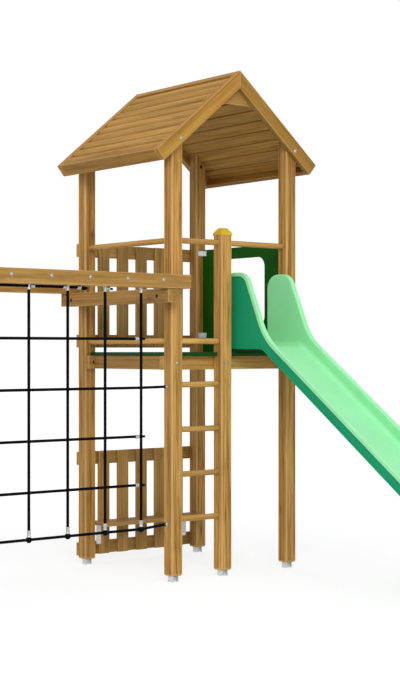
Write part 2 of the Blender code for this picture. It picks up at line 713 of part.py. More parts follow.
def bay_frame():
    """Two long beams on two cross beams, carried by the tower's and the bay's posts."""
    z = (BAY_BEAM_TOP - BAY_BEAM, BAY_BEAM_TOP)
    along = (BAY_POST_X - HALF, HALF)
    box("bay_beam_front", along, (-HALF - GAP - BAY_BEAM, -HALF - GAP), z, TIMBER)
    box("bay_beam_rear", along, (BARRIER_FACE + GAP, BARRIER_FACE + GAP + BAY_BEAM), z, TIMBER)
    low_z = (z[0] - GAP - BAY_BEAM, z[0] - GAP)
    across = (-HALF - CROSS_BEAM_PAST_POST, SPAN_Y + HALF + CROSS_BEAM_PAST_POST)
    box("cross_beam_near", (-HALF - GAP - BAY_BEAM, -HALF - GAP), across, low_z, TIMBER)
    far = BAY_POST_X + HALF + GAP
    box("cross_beam_far", (far, far + BAY_BEAM), across, low_z, TIMBER)


def rope(name, points, diameter):
    """A taut rope through the points, as a closed mesh that can be joined."""
    curve = bpy.data.curves.new(name, "CURVE")
    curve.dimensions = "3D"
    curve.bevel_depth = diameter / 2
    curve.bevel_resolution = ROPE_SIDES // 2 - 2
    curve.use_fill_caps = True
    spline = curve.splines.new("POLY")
    spline.points.add(len(points) - 1)
    for point, place in zip(spline.points, points):
        point.co = (*place, 1.0)
    source = bpy.data.objects.new(name + "_curve", curve)
    CUTTERS.objects.link(source)
    depsgraph = bpy.context.evaluated_depsgraph_get()
    mesh = bpy.data.meshes.new_from_object(source.evaluated_get(depsgraph))
    bpy.data.objects.remove(source, do_unlink=True)
    bm = bmesh.new()
    bm.from_mesh(mesh)
    bmesh.ops.remove_doubles(bm, verts=bm.verts, dist=0.00001)
    return finish_mesh(name, bm)


def net():
    """A flat rope net: five uprights hung from the beam, and six ropes across them."""
    middle = BAY_POST_X / 2
    first = middle - NET_PITCH * (NET_COLUMNS - 1) / 2
    columns = [first + i * NET_PITCH for i in range(NET_COLUMNS)]
    hang = BAY_BEAM_TOP - BAY_BEAM - GAP
    row_heights = [BAY_BEAM_TOP - BAY_BEAM - drop for drop in NET_ROWS_BELOW_BEAM]
    bottom = row_heights[-1]
    thin = ROPE_DIA - 0.001
    base = add_object("net", rope("net", [(columns[0], NET_Y, hang), (columns[0], NET_Y, bottom)],
                                  ROPE_DIA), ROPE)
    others = []
    for index, x in enumerate(columns[1:]):
        mesh = rope(f"net_upright_{index + 2}", [(x, NET_Y, hang), (x, NET_Y, bottom)], ROPE_DIA)
        others.append(add_object(mesh.name, mesh, ROPE, CUTTERS))
    top = hang - NET_TOP_ROPE_DROP
    rows = [(top, False)] + [(z, i in NET_ANCHORED_ROWS) for i, z in enumerate(row_heights)]
    for index, (z, anchored) in enumerate(rows):
        ends = (columns[0] - NET_STUB, columns[-1] + NET_STUB)
        points = [(ends[0], NET_Y, z), (ends[1], NET_Y, z)]
        if anchored:
            far, near = BAY_POST_X + HALF + NET_ANCHOR_CLEAR, -HALF - NET_ANCHOR_CLEAR
            points = [(far, NET_ANCHOR_Y, z), (columns[0], NET_Y, z),
                      (columns[-1], NET_Y, z), (near, NET_ANCHOR_Y, z)]
        mesh = rope(f"net_row_{index}", points, thin)
        others.append(add_object(mesh.name, mesh, ROPE, CUTTERS))
    for index, x in enumerate(columns):
        bm = bmesh.new()
        bmesh.ops.create_uvsphere(bm, u_segments=10, v_segments=7, radius=BALL_DIA / 2)
        ball = add_object(f"net_ball_{index + 1}", finish_mesh("net_ball", bm), ROPE, CUTTERS)
        ball.location = (x, NET_Y, bottom)
        others.append(ball)
    union(base, others)


def main():
    posts()
    platform()
    ladder_and_rails()
    barriers()
    bench()
    side_panel()
    end_y, half_wide = slide()
    slide_supports(end_y, half_wide)
    roof()
    bay_frame()
    net()


main()
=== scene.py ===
import math
import random

import bmesh
import bpy
from mathutils import Matrix, Vector


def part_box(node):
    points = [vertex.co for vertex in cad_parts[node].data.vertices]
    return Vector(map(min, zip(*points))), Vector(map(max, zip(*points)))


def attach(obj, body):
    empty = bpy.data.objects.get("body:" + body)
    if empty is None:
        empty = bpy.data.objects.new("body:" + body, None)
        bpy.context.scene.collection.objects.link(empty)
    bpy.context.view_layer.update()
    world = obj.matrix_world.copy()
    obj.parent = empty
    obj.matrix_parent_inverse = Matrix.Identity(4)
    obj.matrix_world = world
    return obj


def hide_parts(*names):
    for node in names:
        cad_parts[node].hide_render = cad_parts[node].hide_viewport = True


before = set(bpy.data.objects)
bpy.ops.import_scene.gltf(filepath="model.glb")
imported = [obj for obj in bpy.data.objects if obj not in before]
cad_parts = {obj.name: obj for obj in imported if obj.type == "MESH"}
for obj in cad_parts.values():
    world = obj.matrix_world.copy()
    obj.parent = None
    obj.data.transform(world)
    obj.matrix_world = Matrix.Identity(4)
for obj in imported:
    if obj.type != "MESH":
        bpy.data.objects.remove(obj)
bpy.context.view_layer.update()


# Camera and studio
# A long lens at an adult's eye height looks level at the tower's front left corner. The floor and
# the backdrop are white card. A wide soft lamp stands to the front left, with weaker ones around.
studio = bpy.context.scene
studio.view_settings.view_transform = "Standard"

camera_data = bpy.data.cameras.new("camera")
camera_data.lens = 74.575
camera_data.sensor_width = 36.0
camera_data.clip_end = 200.0
camera = bpy.data.objects.new("camera", camera_data)
camera.location = (-5.7846, -7.5150, 1.5147)
camera.rotation_euler = (math.radians(90.0), 0.0, math.radians(-38.6473))
studio.collection.objects.link(camera)
studio.camera = camera

for name, place, target, size, power in (
        ("key_lamp", (-10.5, -15.8, 11.0), (0.3, 0.2, 1.6), 8.0, 1960.0),
        ("front_lamp", (3.5, -17.5, 6.5), (0.5, 0.0, 1.6), 8.0, 200.0),
        ("top_lamp", (-1.0, -3.5, 15.0), (0.5, 0.0, 1.6), 5.0, 330.0),
        ("side_lamp", (-14.0, 1.5, 6.5), (0.0, 0.5, 1.6), 6.0, 175.0)):
    lamp_data = bpy.data.lights.new(name, "AREA")
    lamp_data.shape = "SQUARE"
    lamp_data.size = size
    lamp_data.energy = power
    lamp = bpy.data.objects.new(name, lamp_data)
    lamp.location = place
    lamp.rotation_euler = (Vector(target) - Vector(place)).to_track_quat("-Z", "Y").to_euler()
    studio.collection.objects.link(lamp)


def wire(tree, node, inputs):
    """Set or link a node's inputs, each given by its name or number."""
    for key, value in inputs.items():
        if isinstance(value, bpy.types.NodeSocket):
            tree.links.new(value, node.inputs[key])
        else:
            node.inputs[key].default_value = value
    return node


def calc(tree, operation, *values, clamp=False):
    """A Math node whose inputs are sockets or numbers."""
    node = tree.nodes.new("ShaderNodeMath")
    node.operation = operation
    node.use_clamp = clamp
    return wire(tree, node, dict(enumerate(values))).outputs["Value"]


def vector_calc(tree, operation, *values):
    """The outputs of a Vector Math node whose inputs are sockets or vectors."""
    node = tree.nodes.new("ShaderNodeVectorMath")
    node.operation = operation
    return wire(tree, node, dict(enumerate(values))).outputs


def remap(tree, value, low, high, to_low=0.0, to_high=1.0):
    """A value moved from one range to another and clamped."""
    node = tree.nodes.new("ShaderNodeMapRange")
    return wire(tree, node, {"Value": value, "From Min": low, "From Max": high,
                             "To Min": to_low, "To Max": to_high}).outputs["Result"]


def mix_white(tree, lit, white, share, end):
    """Show a share of a white shader to the camera, in mirrors and through glass."""
    path = tree.nodes.new("ShaderNodeLightPath").outputs
    mirrored = calc(tree, "MAXIMUM", path["Is Glossy Ray"], path["Is Transmission Ray"])
    seen = calc(tree, "MAXIMUM", path["Is Camera Ray"], mirrored)
    mix = tree.nodes.new("ShaderNodeMixShader")
    wire(tree, mix, {"Fac": calc(tree, "MULTIPLY", seen, share), 1: lit, 2: white})
    wire(tree, tree.nodes[end], {"Surface": mix.outputs["Shader"]})


def mesh_of(name, bm):
    """A mesh made from a bmesh, which is freed."""
    mesh = bpy.data.meshes.new(name)
    bm.to_mesh(mesh)
    bm.free()
    return mesh


sky = bpy.data.worlds.new("sky")
studio.world = sky
sky.use_nodes = True
tree = sky.node_tree
pale = wire(tree, tree.nodes["Background"], {"Color": (0.96, 0.98, 1.0, 1.0), "Strength": 0.62})
backdrop = wire(tree, tree.nodes.new("ShaderNodeBackground"), {"Color": (1.0, 1.0, 1.0, 1.0)})
mix_white(tree, pale.outputs["Background"], backdrop.outputs["Background"], 1.0, "World Output")

FLOOR_RADIUS = 60.0
FLOOR_SHADE = 0.30
SHADE_NEAR = 2.5
SHADE_FAR = 6.0
bm = bmesh.new()
bmesh.ops.create_circle(bm, cap_ends=True, segments=96, radius=FLOOR_RADIUS)
floor = bpy.data.objects.new("floor", mesh_of("floor", bm))
studio.collection.objects.link(floor)
card = bpy.data.materials.new("white_card")
card.use_nodes = True
tree = card.node_tree
paper = wire(tree, tree.nodes["Principled BSDF"], {
    "Base Color": (0.86, 0.86, 0.86, 1.0), "Roughness": 0.9, "Specular IOR Level": 0.0})
glow = wire(tree, tree.nodes.new("ShaderNodeEmission"), {"Strength": 1.10})
away = vector_calc(tree, "LENGTH", tree.nodes.new("ShaderNodeNewGeometry").outputs["Position"])
fade = remap(tree, away["Value"], SHADE_NEAR, SHADE_FAR, 1.0 - FLOOR_SHADE, 1.0)
mix_white(tree, paper.outputs["BSDF"], glow.outputs["Emission"], fade, "Material Output")
floor.data.materials.append(card)


# Tower posts
# Planed and oiled pine, 90 mm square with softly rounded corners. The four corner posts run up
# behind the barge boards, where their tops are sawn to the slope; the ladder post ends in a cap.
POST_CORNER = 0.010
POST_END = 0.013
UPRIGHT = (0.0, math.radians(90.0), 0.0)
KNOT_BROWN = (0.12, 0.05, 0.02)
WARM_CLOUD = (1.12, 0.90, 0.62)
WORN_AND_HIGHLIT_PINE = (0.80, 0.56, 0.27)
RINGS_PER_METRE = 950.0


def opaque(value):
    """A colour with its alpha; a socket or a number stays as it is."""
    return (*value, 1.0) if isinstance(value, tuple) else value


def skin_group(name, inputs):
    """A node group that makes a colour, a roughness and a height from a place and some values."""
    tree = bpy.data.node_groups.new(name, "ShaderNodeTree")
    for label, kind in {"Place": "Vector", **inputs}.items():
        tree.interface.new_socket(name=label, in_out="INPUT", socket_type="NodeSocket" + kind)
    for label, kind in (("Color", "Color"), ("Roughness", "Float"), ("Height", "Float")):
        tree.interface.new_socket(name=label, in_out="OUTPUT", socket_type="NodeSocket" + kind)
    return tree, tree.nodes.new("NodeGroupInput").outputs, tree.nodes.new("NodeGroupOutput")


def times(tree, first, second):
    """The product of two sockets or numbers."""
    return calc(tree, "MULTIPLY", first, second)


def plus(tree, *parts, clamp=False):
    """The sum of sockets and numbers, clamped at every step if asked."""
    total = parts[0]
    for part in parts[1:]:
        total = calc(tree, "ADD", total, part, clamp=clamp)
    return total


def noise(tree, place, scale, detail=3.0, roughness=0.5):
    """A noise texture's value, with one scale or one for each axis."""
    if isinstance(scale, tuple):
        place = vector_calc(tree, "MULTIPLY", place, scale)["Vector"]
        scale = 1.0
    node = tree.nodes.new("ShaderNodeTexNoise")
    return wire(tree, node, {"Vector": place, "Scale": scale, "Detail": detail,
                             "Roughness": roughness}).outputs["Fac"]


def blend(tree, amount, first, second, way="MIX"):
    """A mix of two colours, each a socket or a tuple."""
    node = tree.nodes.new("ShaderNodeMix")
    node.data_type = "RGBA"
    node.blend_type = way
    return wire(tree, node, {"Factor": amount, 6: opaque(first), 7: opaque(second)}).outputs[2]


def piece_value(tree, name):
    """A number stored on a piece's faces."""
    node = tree.nodes.new("ShaderNodeAttribute")
    node.attribute_name = name
    return node.outputs["Fac"]


def pine_grain():
    """Pine seen along X: growth rings, fine fibres, resin streaks, knots, and arrises made paler as
    wear and as a painted highlight.
    """
    tree, given, end = skin_group("pine_grain", {"Sapwood": "Color", "Heartwood": "Color"})
    tone = piece_value(tree, "tone")
    shift = vector_calc(tree, "MULTIPLY", tone, (9.0, 3.7, 5.3))["Vector"]
    place = vector_calc(tree, "ADD", given["Place"], shift)["Vector"]

    bend = noise(tree, place, (0.9, 3.0, 3.0), 2.0)
    split = wire(tree, tree.nodes.new("ShaderNodeSeparateXYZ"), {0: place}).outputs
    across = plus(tree, split["Y"], times(tree, bend, 0.09))
    depth = plus(tree, split["Z"], times(tree, bend, 0.05))
    far = calc(tree, "SQRT", plus(tree, times(tree, across, across), times(tree, depth, depth)))
    wave = calc(tree, "SINE", times(tree, far, RINGS_PER_METRE))
    rings = calc(tree, "POWER", calc(tree, "MULTIPLY_ADD", wave, 0.5, 0.5), 2.4)

    fibres = noise(tree, place, (3.0, 260.0, 260.0), 4.0, 0.6)
    streaks = noise(tree, place, (1.5, 72.0, 72.0), 3.0, 0.6)
    bands = noise(tree, place, (0.9, 22.0, 22.0), 2.0)
    clouds = noise(tree, place, (0.7, 5.0, 5.0))
    flecks = noise(tree, place, (6.0, 48.0, 48.0), 3.0, 0.6)
    wander = noise(tree, place, (9.0, 20.0, 20.0), 2.0)
    wander = vector_calc(tree, "MULTIPLY", wander, (0.12, 0.12, 0.0))["Vector"]
    knot_place = vector_calc(tree, "MULTIPLY_ADD", place, (2.8, 8.0, 8.0), wander)["Vector"]
    knots = wire(tree, tree.nodes.new("ShaderNodeTexVoronoi"), {
        "Vector": knot_place, "Scale": 1.0}).outputs["Distance"]
    knot_core = remap(tree, knots, 0.040, 0.070, 1.0, 0.0)

    heart = plus(tree, remap(tree, streaks, 0.40, 0.62, 0.0, 0.54),
                 remap(tree, bands, 0.40, 0.62, 0.0, 0.42), times(tree, rings, 0.14),
                 remap(tree, flecks, 0.52, 0.68, 0.0, 0.30),
                 remap(tree, knots, 0.05, 0.20, 0.36, 0.0), clamp=True)
    colour = blend(tree, heart, given["Sapwood"], given["Heartwood"])
    colour = blend(tree, remap(tree, clouds, 0.35, 0.68, 0.0, 0.30), colour, WARM_CLOUD,
                   "MULTIPLY")
    colour = blend(tree, 1.0, colour, remap(tree, fibres, 0.30, 0.70, 0.82, 1.12), "MULTIPLY")
    # A piece's tone tints it lighter or darker; the low tones set on pieces that stand in shade are
    # painted shade.
    colour = blend(tree, 1.0, colour, remap(tree, tone, 0.0, 1.0, 0.82, 1.18), "MULTIPLY")
    colour = blend(tree, times(tree, knot_core, 0.7), colour, KNOT_BROWN)
    # Marked arrises are blended towards a paler pine, partly as wear and partly as a painted
    # highlight.
    colour = blend(tree, times(tree, piece_value(tree, "arris"), 0.35), colour, WORN_AND_HIGHLIT_PINE)
    wire(tree, end, {
        "Color": colour,
        "Roughness": plus(tree, remap(tree, streaks, 0.3, 0.7, 0.50, 0.66),
                          times(tree, knot_core, -0.12)),
        "Height": plus(tree, times(tree, fibres, 0.6), times(tree, rings, 0.5),
                       times(tree, knot_core, 0.8))})
    return tree


def coated(name, group, values, strength, depth, constants, turn=None):
    """A material from a skin group, its values, a bump and the shader's own constants."""
    material = bpy.data.materials.new(name)
    material.use_nodes = True
    tree = material.node_tree
    place = tree.nodes.new("ShaderNodeTexCoord").outputs["Object"]
    if turn is not None:
        mapping = tree.nodes.new("ShaderNodeMapping")
        place = wire(tree, mapping, {"Vector": place, "Rotation": turn}).outputs["Vector"]
    skin = tree.nodes.new("ShaderNodeGroup")
    skin.node_tree = group
    wire(tree, skin, {"Place": place})
    wire(tree, skin, {label: opaque(value) for label, value in values.items()})
    bump = wire(tree, tree.nodes.new("ShaderNodeBump"), {
        "Height": skin.outputs["Height"], "Strength": strength, "Distance": depth})
    wire(tree, tree.nodes["Principled BSDF"], {
        "Base Color": skin.outputs["Color"], "Roughness": skin.outputs["Roughness"],
        "Normal": bump.outputs["Normal"], **constants})
    return material


PINE = pine_grain()


def timber(name, turn, sapwood, heartwood):
    """Oiled pine whose grain runs along X after the given turn of the piece's coordinates."""
    return coated(name, PINE, {"Sapwood": sapwood, "Heartwood": heartwood}, 0.35, 0.0006,
                  {"Specular IOR Level": 0.18}, turn)


PINE_UPRIGHT = timber("pine_upright", UPRIGHT, (0.62, 0.352, 0.090), (0.26, 0.119, 0.022))

shuffle = random.Random(7)


def finish_piece(name, bm, materials, nodes=(), tone=None, round_angle=None):
    """Turn a bmesh into a piece that rides on the tower and stands for the nodes it replaces."""
    layer = bm.faces.layers.float.get("tone") or bm.faces.layers.float.new("tone")
    if tone is None:
        tone = shuffle.random()
    for face in bm.faces:
        if face[layer] == 0.0:
            face[layer] = tone
    mesh = mesh_of(name, bm)
    if "custom_normal" in mesh.attributes:
        mesh.attributes.remove(mesh.attributes["custom_normal"])
    if round_angle is not None:
        mesh.shade_smooth()
        mesh.set_sharp_from_angle(angle=math.radians(round_angle))
    elif "arris" in mesh.attributes:
        wear_and_highlight = mesh.attributes["arris"].data
        for polygon in mesh.polygons:
            polygon.use_smooth = wear_and_highlight[polygon.index].value > 0.5
    for material in materials:
        mesh.materials.append(material)
    piece = bpy.data.objects.new(name, mesh)
    studio.collection.objects.link(piece)
    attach(piece, "root")
    if nodes:
        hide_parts(*nodes)
    return piece


def round_arrises(bm, edges, size, segments=2):
    """Round some edges and mark the new faces, which the pine makes paler, partly as worn oil and
    partly as a painted highlight.
    """
    layer = bm.faces.layers.float.get("arris") or bm.faces.layers.float.new("arris")
    made = bmesh.ops.bevel(bm, geom=edges, offset=size, offset_type="OFFSET", segments=segments,
                           profile=0.5, affect="EDGES", material=-1)
    for face in made["faces"]:
        face[layer] = 1.0


def block(low, high):
    """A bmesh box between two corners."""
    bm = bmesh.new()
    bmesh.ops.create_cube(bm, size=1.0)
    bmesh.ops.scale(bm, vec=high - low, verts=bm.verts)
    bmesh.ops.translate(bm, vec=(high + low) / 2, verts=bm.verts)
    return bm


ROOF_PITCH = math.radians(40.0)
# The low tones on the rear posts and the front right post are painted shade for posts that stand in
# shade.
POST_SHADE_TONES_AND_SLOPES = {
    "post_front_left": (0.50, -1), "post_front_right": (0.22, 1), "post_rear_left": (0.20, -1),
    "post_rear_right": (0.01, 1), "post_ladder": (0.76, 0), "post_bay_front": (0.50, 0),
    "post_bay_rear": (0.35, 0)}
for node, (tone, side) in POST_SHADE_TONES_AND_SLOPES.items():
    low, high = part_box(node)
    bm = block(low, high)
    corners = [e for e in bm.edges if abs(e.verts[0].co.z - e.verts[1].co.z) > 0.5]
    round_arrises(bm, corners, POST_CORNER, 3)
    if side:
        slope = Vector((side * math.sin(ROOF_PITCH), 0.0, math.cos(ROOF_PITCH)))
        top = Vector((low.x if side > 0 else high.x, 0.0, high.z))
        bmesh.ops.bisect_plane(bm, geom=bm.verts[:] + bm.edges[:] + bm.faces[:], plane_co=top,
                               plane_no=slope, clear_outer=True)
        bmesh.ops.holes_fill(bm, edges=[e for e in bm.edges if e.is_boundary])
    rim = [e for e in bm.edges if max(v.co.z for v in e.verts) < low.z + 0.001]
    if "bay" in node:
        rim += [e for e in bm.edges if min(v.co.z for v in e.verts) > high.z - 0.001]
    round_arrises(bm, rim, POST_END, 4)
    finish_piece(node + "_timber", bm, [PINE_UPRIGHT], [node], tone=tone, round_angle=50.0)


# Post feet
# A short length of rolled H profile, hot-dip galvanised, carries each post clear of the wet ground.
# The rolled section has round roots where the web meets the flanges, and dull crystals of zinc.
FOOT_STEEL = 0.006
FOOT_ROOT = 0.006
FOOT_EDGE = 0.0008


def zinc_crystals():
    """Hot-dip zinc: pale crystals of different tilt, with dull grey bloom between them."""
    tree, given, end = skin_group("zinc_crystals", {"Bright": "Color", "Dull": "Color",
                                                    "Crystal Size": "Float"})
    crystals = wire(tree, tree.nodes.new("ShaderNodeTexVoronoi"), {
        "Vector": given["Place"], "Scale": given["Crystal Size"]}).outputs["Color"]
    tilt = wire(tree, tree.nodes.new("ShaderNodeSeparateColor"), {"Color": crystals}).outputs
    bloom = noise(tree, given["Place"], 35.0, 4.0)
    dull = plus(tree, times(tree, tilt["Red"], 0.55), remap(tree, bloom, 0.45, 0.75, 0.0, 0.45),
                clamp=True)
    wire(tree, end, {"Color": blend(tree, dull, given["Bright"], given["Dull"]),
                     "Roughness": remap(tree, dull, 0.0, 1.0, 0.30, 0.56),
                     "Height": plus(tree, times(tree, tilt["Green"], 0.3), bloom)})
    return tree


ZINC = zinc_crystals()


def zinc_coat(name, bright, dull, crystal_size, metallic):
    """Zinc-coated steel with crystals of a given size."""
    return coated(name, ZINC, {"Bright": bright, "Dull": dull, "Crystal Size": crystal_size},
                  0.2, 0.0004, {"Metallic": metallic})


HOT_DIP_STEEL = zinc_coat("hot_dip_steel", (0.74, 0.75, 0.76), (0.48, 0.49, 0.50), 110.0, 0.60)


def steel_piece(name, bm, material, nodes=(), round_angle=None):
    """A finished piece of coated steel."""
    finish_piece(name, bm, [material], nodes, round_angle=round_angle)


def new_verts(grown):
    """The vertices that an extrusion has made."""
    return [item for item in grown["geom"] if isinstance(item, bmesh.types.BMVert)]


def cut_shape(points, thickness):
    """A flat outline given a thickness along a vector."""
    bm = bmesh.new()
    face = bm.faces.new([bm.verts.new(point) for point in points])
    grown = bmesh.ops.extrude_face_region(bm, geom=[face])
    bmesh.ops.translate(bm, vec=thickness, verts=new_verts(grown))
    bmesh.ops.recalc_face_normals(bm, faces=bm.faces)
    return bm


for word in ("front_left", "front_right", "rear_left", "rear_right", "ladder", "bay_front",
             "bay_rear"):
    node = "foot_" + word
    low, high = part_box(node)
    web_low = (low.y + high.y - FOOT_STEEL) / 2
    web_high = web_low + FOOT_STEEL
    left = low.x + FOOT_STEEL
    right = high.x - FOOT_STEEL
    outline = [(low.x, low.y), (left, low.y), (left, web_low), (right, web_low), (right, low.y),
               (high.x, low.y), (high.x, high.y), (right, high.y), (right, web_high),
               (left, web_high), (left, high.y), (low.x, high.y)]
    bm = cut_shape([(x, y, low.z) for x, y in outline], Vector((0.0, 0.0, high.z - low.z)))
    round_arrises(bm, [e for e in bm.edges if e.calc_face_angle_signed() < -1.0], FOOT_ROOT, 3)
    round_arrises(bm, [e for e in bm.edges if e.calc_face_angle_signed() > 1.0], FOOT_EDGE, 1)
    steel_piece(node + "_profile", bm, HOT_DIP_STEEL, [node])


# Post cap
# A low hipped cap moulded in yellow polyethylene is pressed over the sawn top of the ladder post.
# Its skirt is hollow and hugs the post; the moulding leaves every edge round.
CAP_TOP = 0.045
CAP_SKIRT = 0.015
CAP_WALL = 0.0012
CAP_HOLLOW = 0.0122
CAP_ROUND = 0.003


def moulded_skin():
    """Moulded plastic: an orange-peel skin, faint clouds in the colour, and fine scuffs along Y."""
    tree, given, end = skin_group("moulded_skin", {"Pigment": "Color", "Scuff": "Color",
                                                   "Wear": "Float", "Gloss": "Float"})
    peel = noise(tree, given["Place"], 420.0, 2.0)
    clouds = noise(tree, given["Place"], 4.0)
    scuffs = remap(tree, noise(tree, given["Place"], (190.0, 6.0, 9.0), 3.0, 0.7), 0.60, 0.74)
    scuffs = times(tree, scuffs, given["Wear"])
    shade = remap(tree, clouds, 0.3, 0.7, 0.96, 1.04)
    colour = blend(tree, 1.0, given["Pigment"], shade, "MULTIPLY")
    wire(tree, end, {"Color": blend(tree, scuffs, colour, given["Scuff"]),
                     "Roughness": plus(tree, given["Gloss"], times(tree, scuffs, 0.5),
                                       remap(tree, clouds, 0.3, 0.7, -0.03, 0.03)),
                     "Height": calc(tree, "SUBTRACT", peel, scuffs)})
    return tree


SKIN = moulded_skin()


def plastic(name, pigment, scuff, wear, gloss, peel, shine=0.4):
    """A moulded plastic with its pigment, scuffs and orange peel."""
    return coated(name, SKIN, {"Pigment": pigment, "Scuff": scuff, "Wear": wear, "Gloss": gloss},
                  peel, 0.0005, {"Specular IOR Level": shine})


CAP_YELLOW = plastic("cap_yellow", (0.60, 0.40, 0.004), (0.80, 0.62, 0.15), 0.3, 0.38, 0.15)

low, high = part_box("post_cap")
bm = block(low, Vector((high.x, high.y, low.z + CAP_SKIRT)))
top = [f for f in bm.faces if f.normal.z > 0.9]
crown = bmesh.ops.extrude_discrete_faces(bm, faces=top)["faces"][0]
bmesh.ops.translate(bm, vec=(0.0, 0.0, high.z - low.z - CAP_SKIRT), verts=crown.verts)
share = CAP_TOP / (high.x - low.x)
bmesh.ops.scale(bm, vec=(share, share, 1.0), verts=crown.verts,
                space=Matrix.Translation(-crown.calc_center_median()))
round_arrises(bm, bm.edges[:], CAP_ROUND, 3)
under = [f for f in bm.faces if f.normal.z < -0.99]
bmesh.ops.inset_region(bm, faces=under, thickness=CAP_WALL)
hollow = bmesh.ops.extrude_discrete_faces(bm, faces=[f for f in under if f.is_valid])
bmesh.ops.translate(bm, vec=(0.0, 0.0, CAP_HOLLOW), verts=hollow["faces"][0].verts)
finish_piece("post_cap_moulding", bm, [CAP_YELLOW], ["post_cap"],
             round_angle=50.0)


# Platform beams
# Four sawn pine beams, 90 by 45 mm, are bolted to the posts' inner faces and carry the deck.
# The two long ones run on to the outer faces of the posts, so that their sawn ends show.
SAWN_ARRIS = 0.0025
CROSSWISE = (0.0, 0.0, 0.0)
LENGTHWISE = (0.0, 0.0, math.radians(-90.0))
LEVEL_PINE = ((0.49, 0.285, 0.080), (0.30, 0.155, 0.034))
PINE_CROSSWISE = timber("pine_crosswise", CROSSWISE, *LEVEL_PINE)
PINE_LENGTHWISE = timber("pine_lengthwise", LENGTHWISE, *LEVEL_PINE)


def board(name, low, high, material, arris, nodes, tone=None):
    """A planed board between two corners, with rounded arrises."""
    bm = block(low, high)
    round_arrises(bm, bm.edges[:], arris)
    finish_piece(name, bm, [material], nodes, tone)


def plank(node, material, arris, tone=None):
    """A planed board in a node's place."""
    low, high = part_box(node)
    board(node + "_timber", low, high, material, arris, [node], tone)


plank("platform_beam_front", PINE_CROSSWISE, SAWN_ARRIS, tone=1.0)
plank("platform_beam_rear", PINE_CROSSWISE, SAWN_ARRIS, tone=0.35)
# The left beam's low tone is painted shade for a beam that lies in shade.
plank("platform_beam_left", PINE_LENGTHWISE, SAWN_ARRIS, tone=0.03)
plank("platform_beam_right", PINE_LENGTHWISE, SAWN_ARRIS, tone=0.45)


# Deck
# One sheet of green polyethylene board lies on the beams, sawn out round the four corner posts.
# Its edge shows as a dark green line between beam and rail.
DECK_GREEN = plastic("deck_green", (0.001, 0.048, 0.002), (0.04, 0.14, 0.04), 0.5, 0.50, 0.35,
                     0.15)


def eased_copy(node, size, segments=2):
    """A merged copy of a CAD node with its sharp edges eased."""
    bm = bmesh.new()
    bm.from_mesh(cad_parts[node].data)
    bmesh.ops.remove_doubles(bm, verts=bm.verts, dist=0.00005)
    bmesh.ops.dissolve_limit(bm, angle_limit=math.radians(1.0), verts=bm.verts, edges=bm.edges)
    sharp = [e for e in bm.edges if e.is_manifold and e.calc_face_angle() > math.radians(40.0)]
    round_arrises(bm, sharp, size, segments)
    return bm


finish_piece("deck_sheet", eased_copy("deck_board", 0.0025), [DECK_GREEN], ["deck_board"])


# Ladder rungs and round rails
# Turned pine bars, 38 mm thick, are let into the posts: four rungs and a threshold make the
# ladder, and others guard the ladder's top, the slide's mouth and the tower's open left side.
BAR_SIDES = 40
BAR_END = 0.002
TURNED_PINE = ((0.62, 0.375, 0.112), (0.42, 0.225, 0.054))
TURNED_CROSSWISE = timber("turned_crosswise", CROSSWISE, *TURNED_PINE)
TURNED_LENGTHWISE = timber("turned_lengthwise", LENGTHWISE, *TURNED_PINE)


def round_bar(node, axis, material):
    """A turned bar in a node's place with its length along one axis."""
    low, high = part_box(node)
    radius = (high[2] - low[2]) / 2
    bm = bmesh.new()
    bmesh.ops.create_cone(bm, cap_ends=True, segments=BAR_SIDES, radius1=radius, radius2=radius,
                          depth=high[axis] - low[axis])
    ends = [e for e in bm.edges if abs(e.verts[0].co.z - e.verts[1].co.z) < 0.001]
    round_arrises(bm, ends, BAR_END)
    turn = Matrix.Rotation(math.radians(90.0), 3, "Y" if axis == 0 else "X")
    bmesh.ops.rotate(bm, matrix=turn, verts=bm.verts)
    bmesh.ops.translate(bm, vec=(low + high) / 2, verts=bm.verts)
    layer = bm.faces.layers.float["arris"]
    for face in bm.faces:
        face[layer] = 0.0
    finish_piece(node + "_turned", bm, [material], [node], round_angle=40.0)


for node in ("ladder_rung_1", "ladder_rung_2", "ladder_rung_3", "ladder_rung_4",
             "ladder_threshold", "rail_over_ladder", "rail_over_slide"):
    round_bar(node, 0, TURNED_CROSSWISE)
for node in ("rail_left_top", "rail_left_low"):
    round_bar(node, 1, TURNED_LENGTHWISE)


# Bolts through the posts and beams
# Zinc-plated coach bolts with round heads and pressed washers clamp beams and barge boards to the
# posts. Their nuts are sunk on the far side, each in a bore closed with a dark plug.
BOLT_ZINC = zinc_coat("bolt_zinc", (0.45, 0.44, 0.38), (0.23, 0.22, 0.18), 260.0, 0.9)
PLUG_BROWN = plastic("plug_brown", (0.030, 0.011, 0.001), (0.09, 0.05, 0.02), 0.2, 0.60, 0.3,
                     0.10)
POST_FACE = 0.045
LADDER_X = 0.419
PLATFORM_BOLT = 1.429
BARGE_BOLT = 2.890
BARGE_NUT = 2.884
BAY_BOLT = 1.962
BAY_BOLTS_X = (-0.179, -0.460, -0.743, -1.026, -1.305, -1.587)
CROSS_BOLT = 1.8667
CROSS_NUT = 1.8645
GUARD_BOLTS = (0.104, 0.746, 1.578, 2.221)


def turned_pattern(name, outline, steps=24):
    """A shape spun round Z from an outline of (radius, height) points."""
    bm = bmesh.new()
    line = [bm.verts.new((radius, 0.0, height)) for radius, height in outline]
    edges = [bm.edges.new(pair) for pair in zip(line, line[1:])]
    bmesh.ops.spin(bm, geom=line + edges, cent=(0.0, 0.0, 0.0), axis=(0.0, 0.0, 1.0),
                   angle=math.radians(360.0), steps=steps, use_merge=True)
    bmesh.ops.remove_doubles(bm, verts=bm.verts, dist=0.00002)
    bmesh.ops.recalc_face_normals(bm, faces=bm.faces)
    return mesh_of(name, bm)


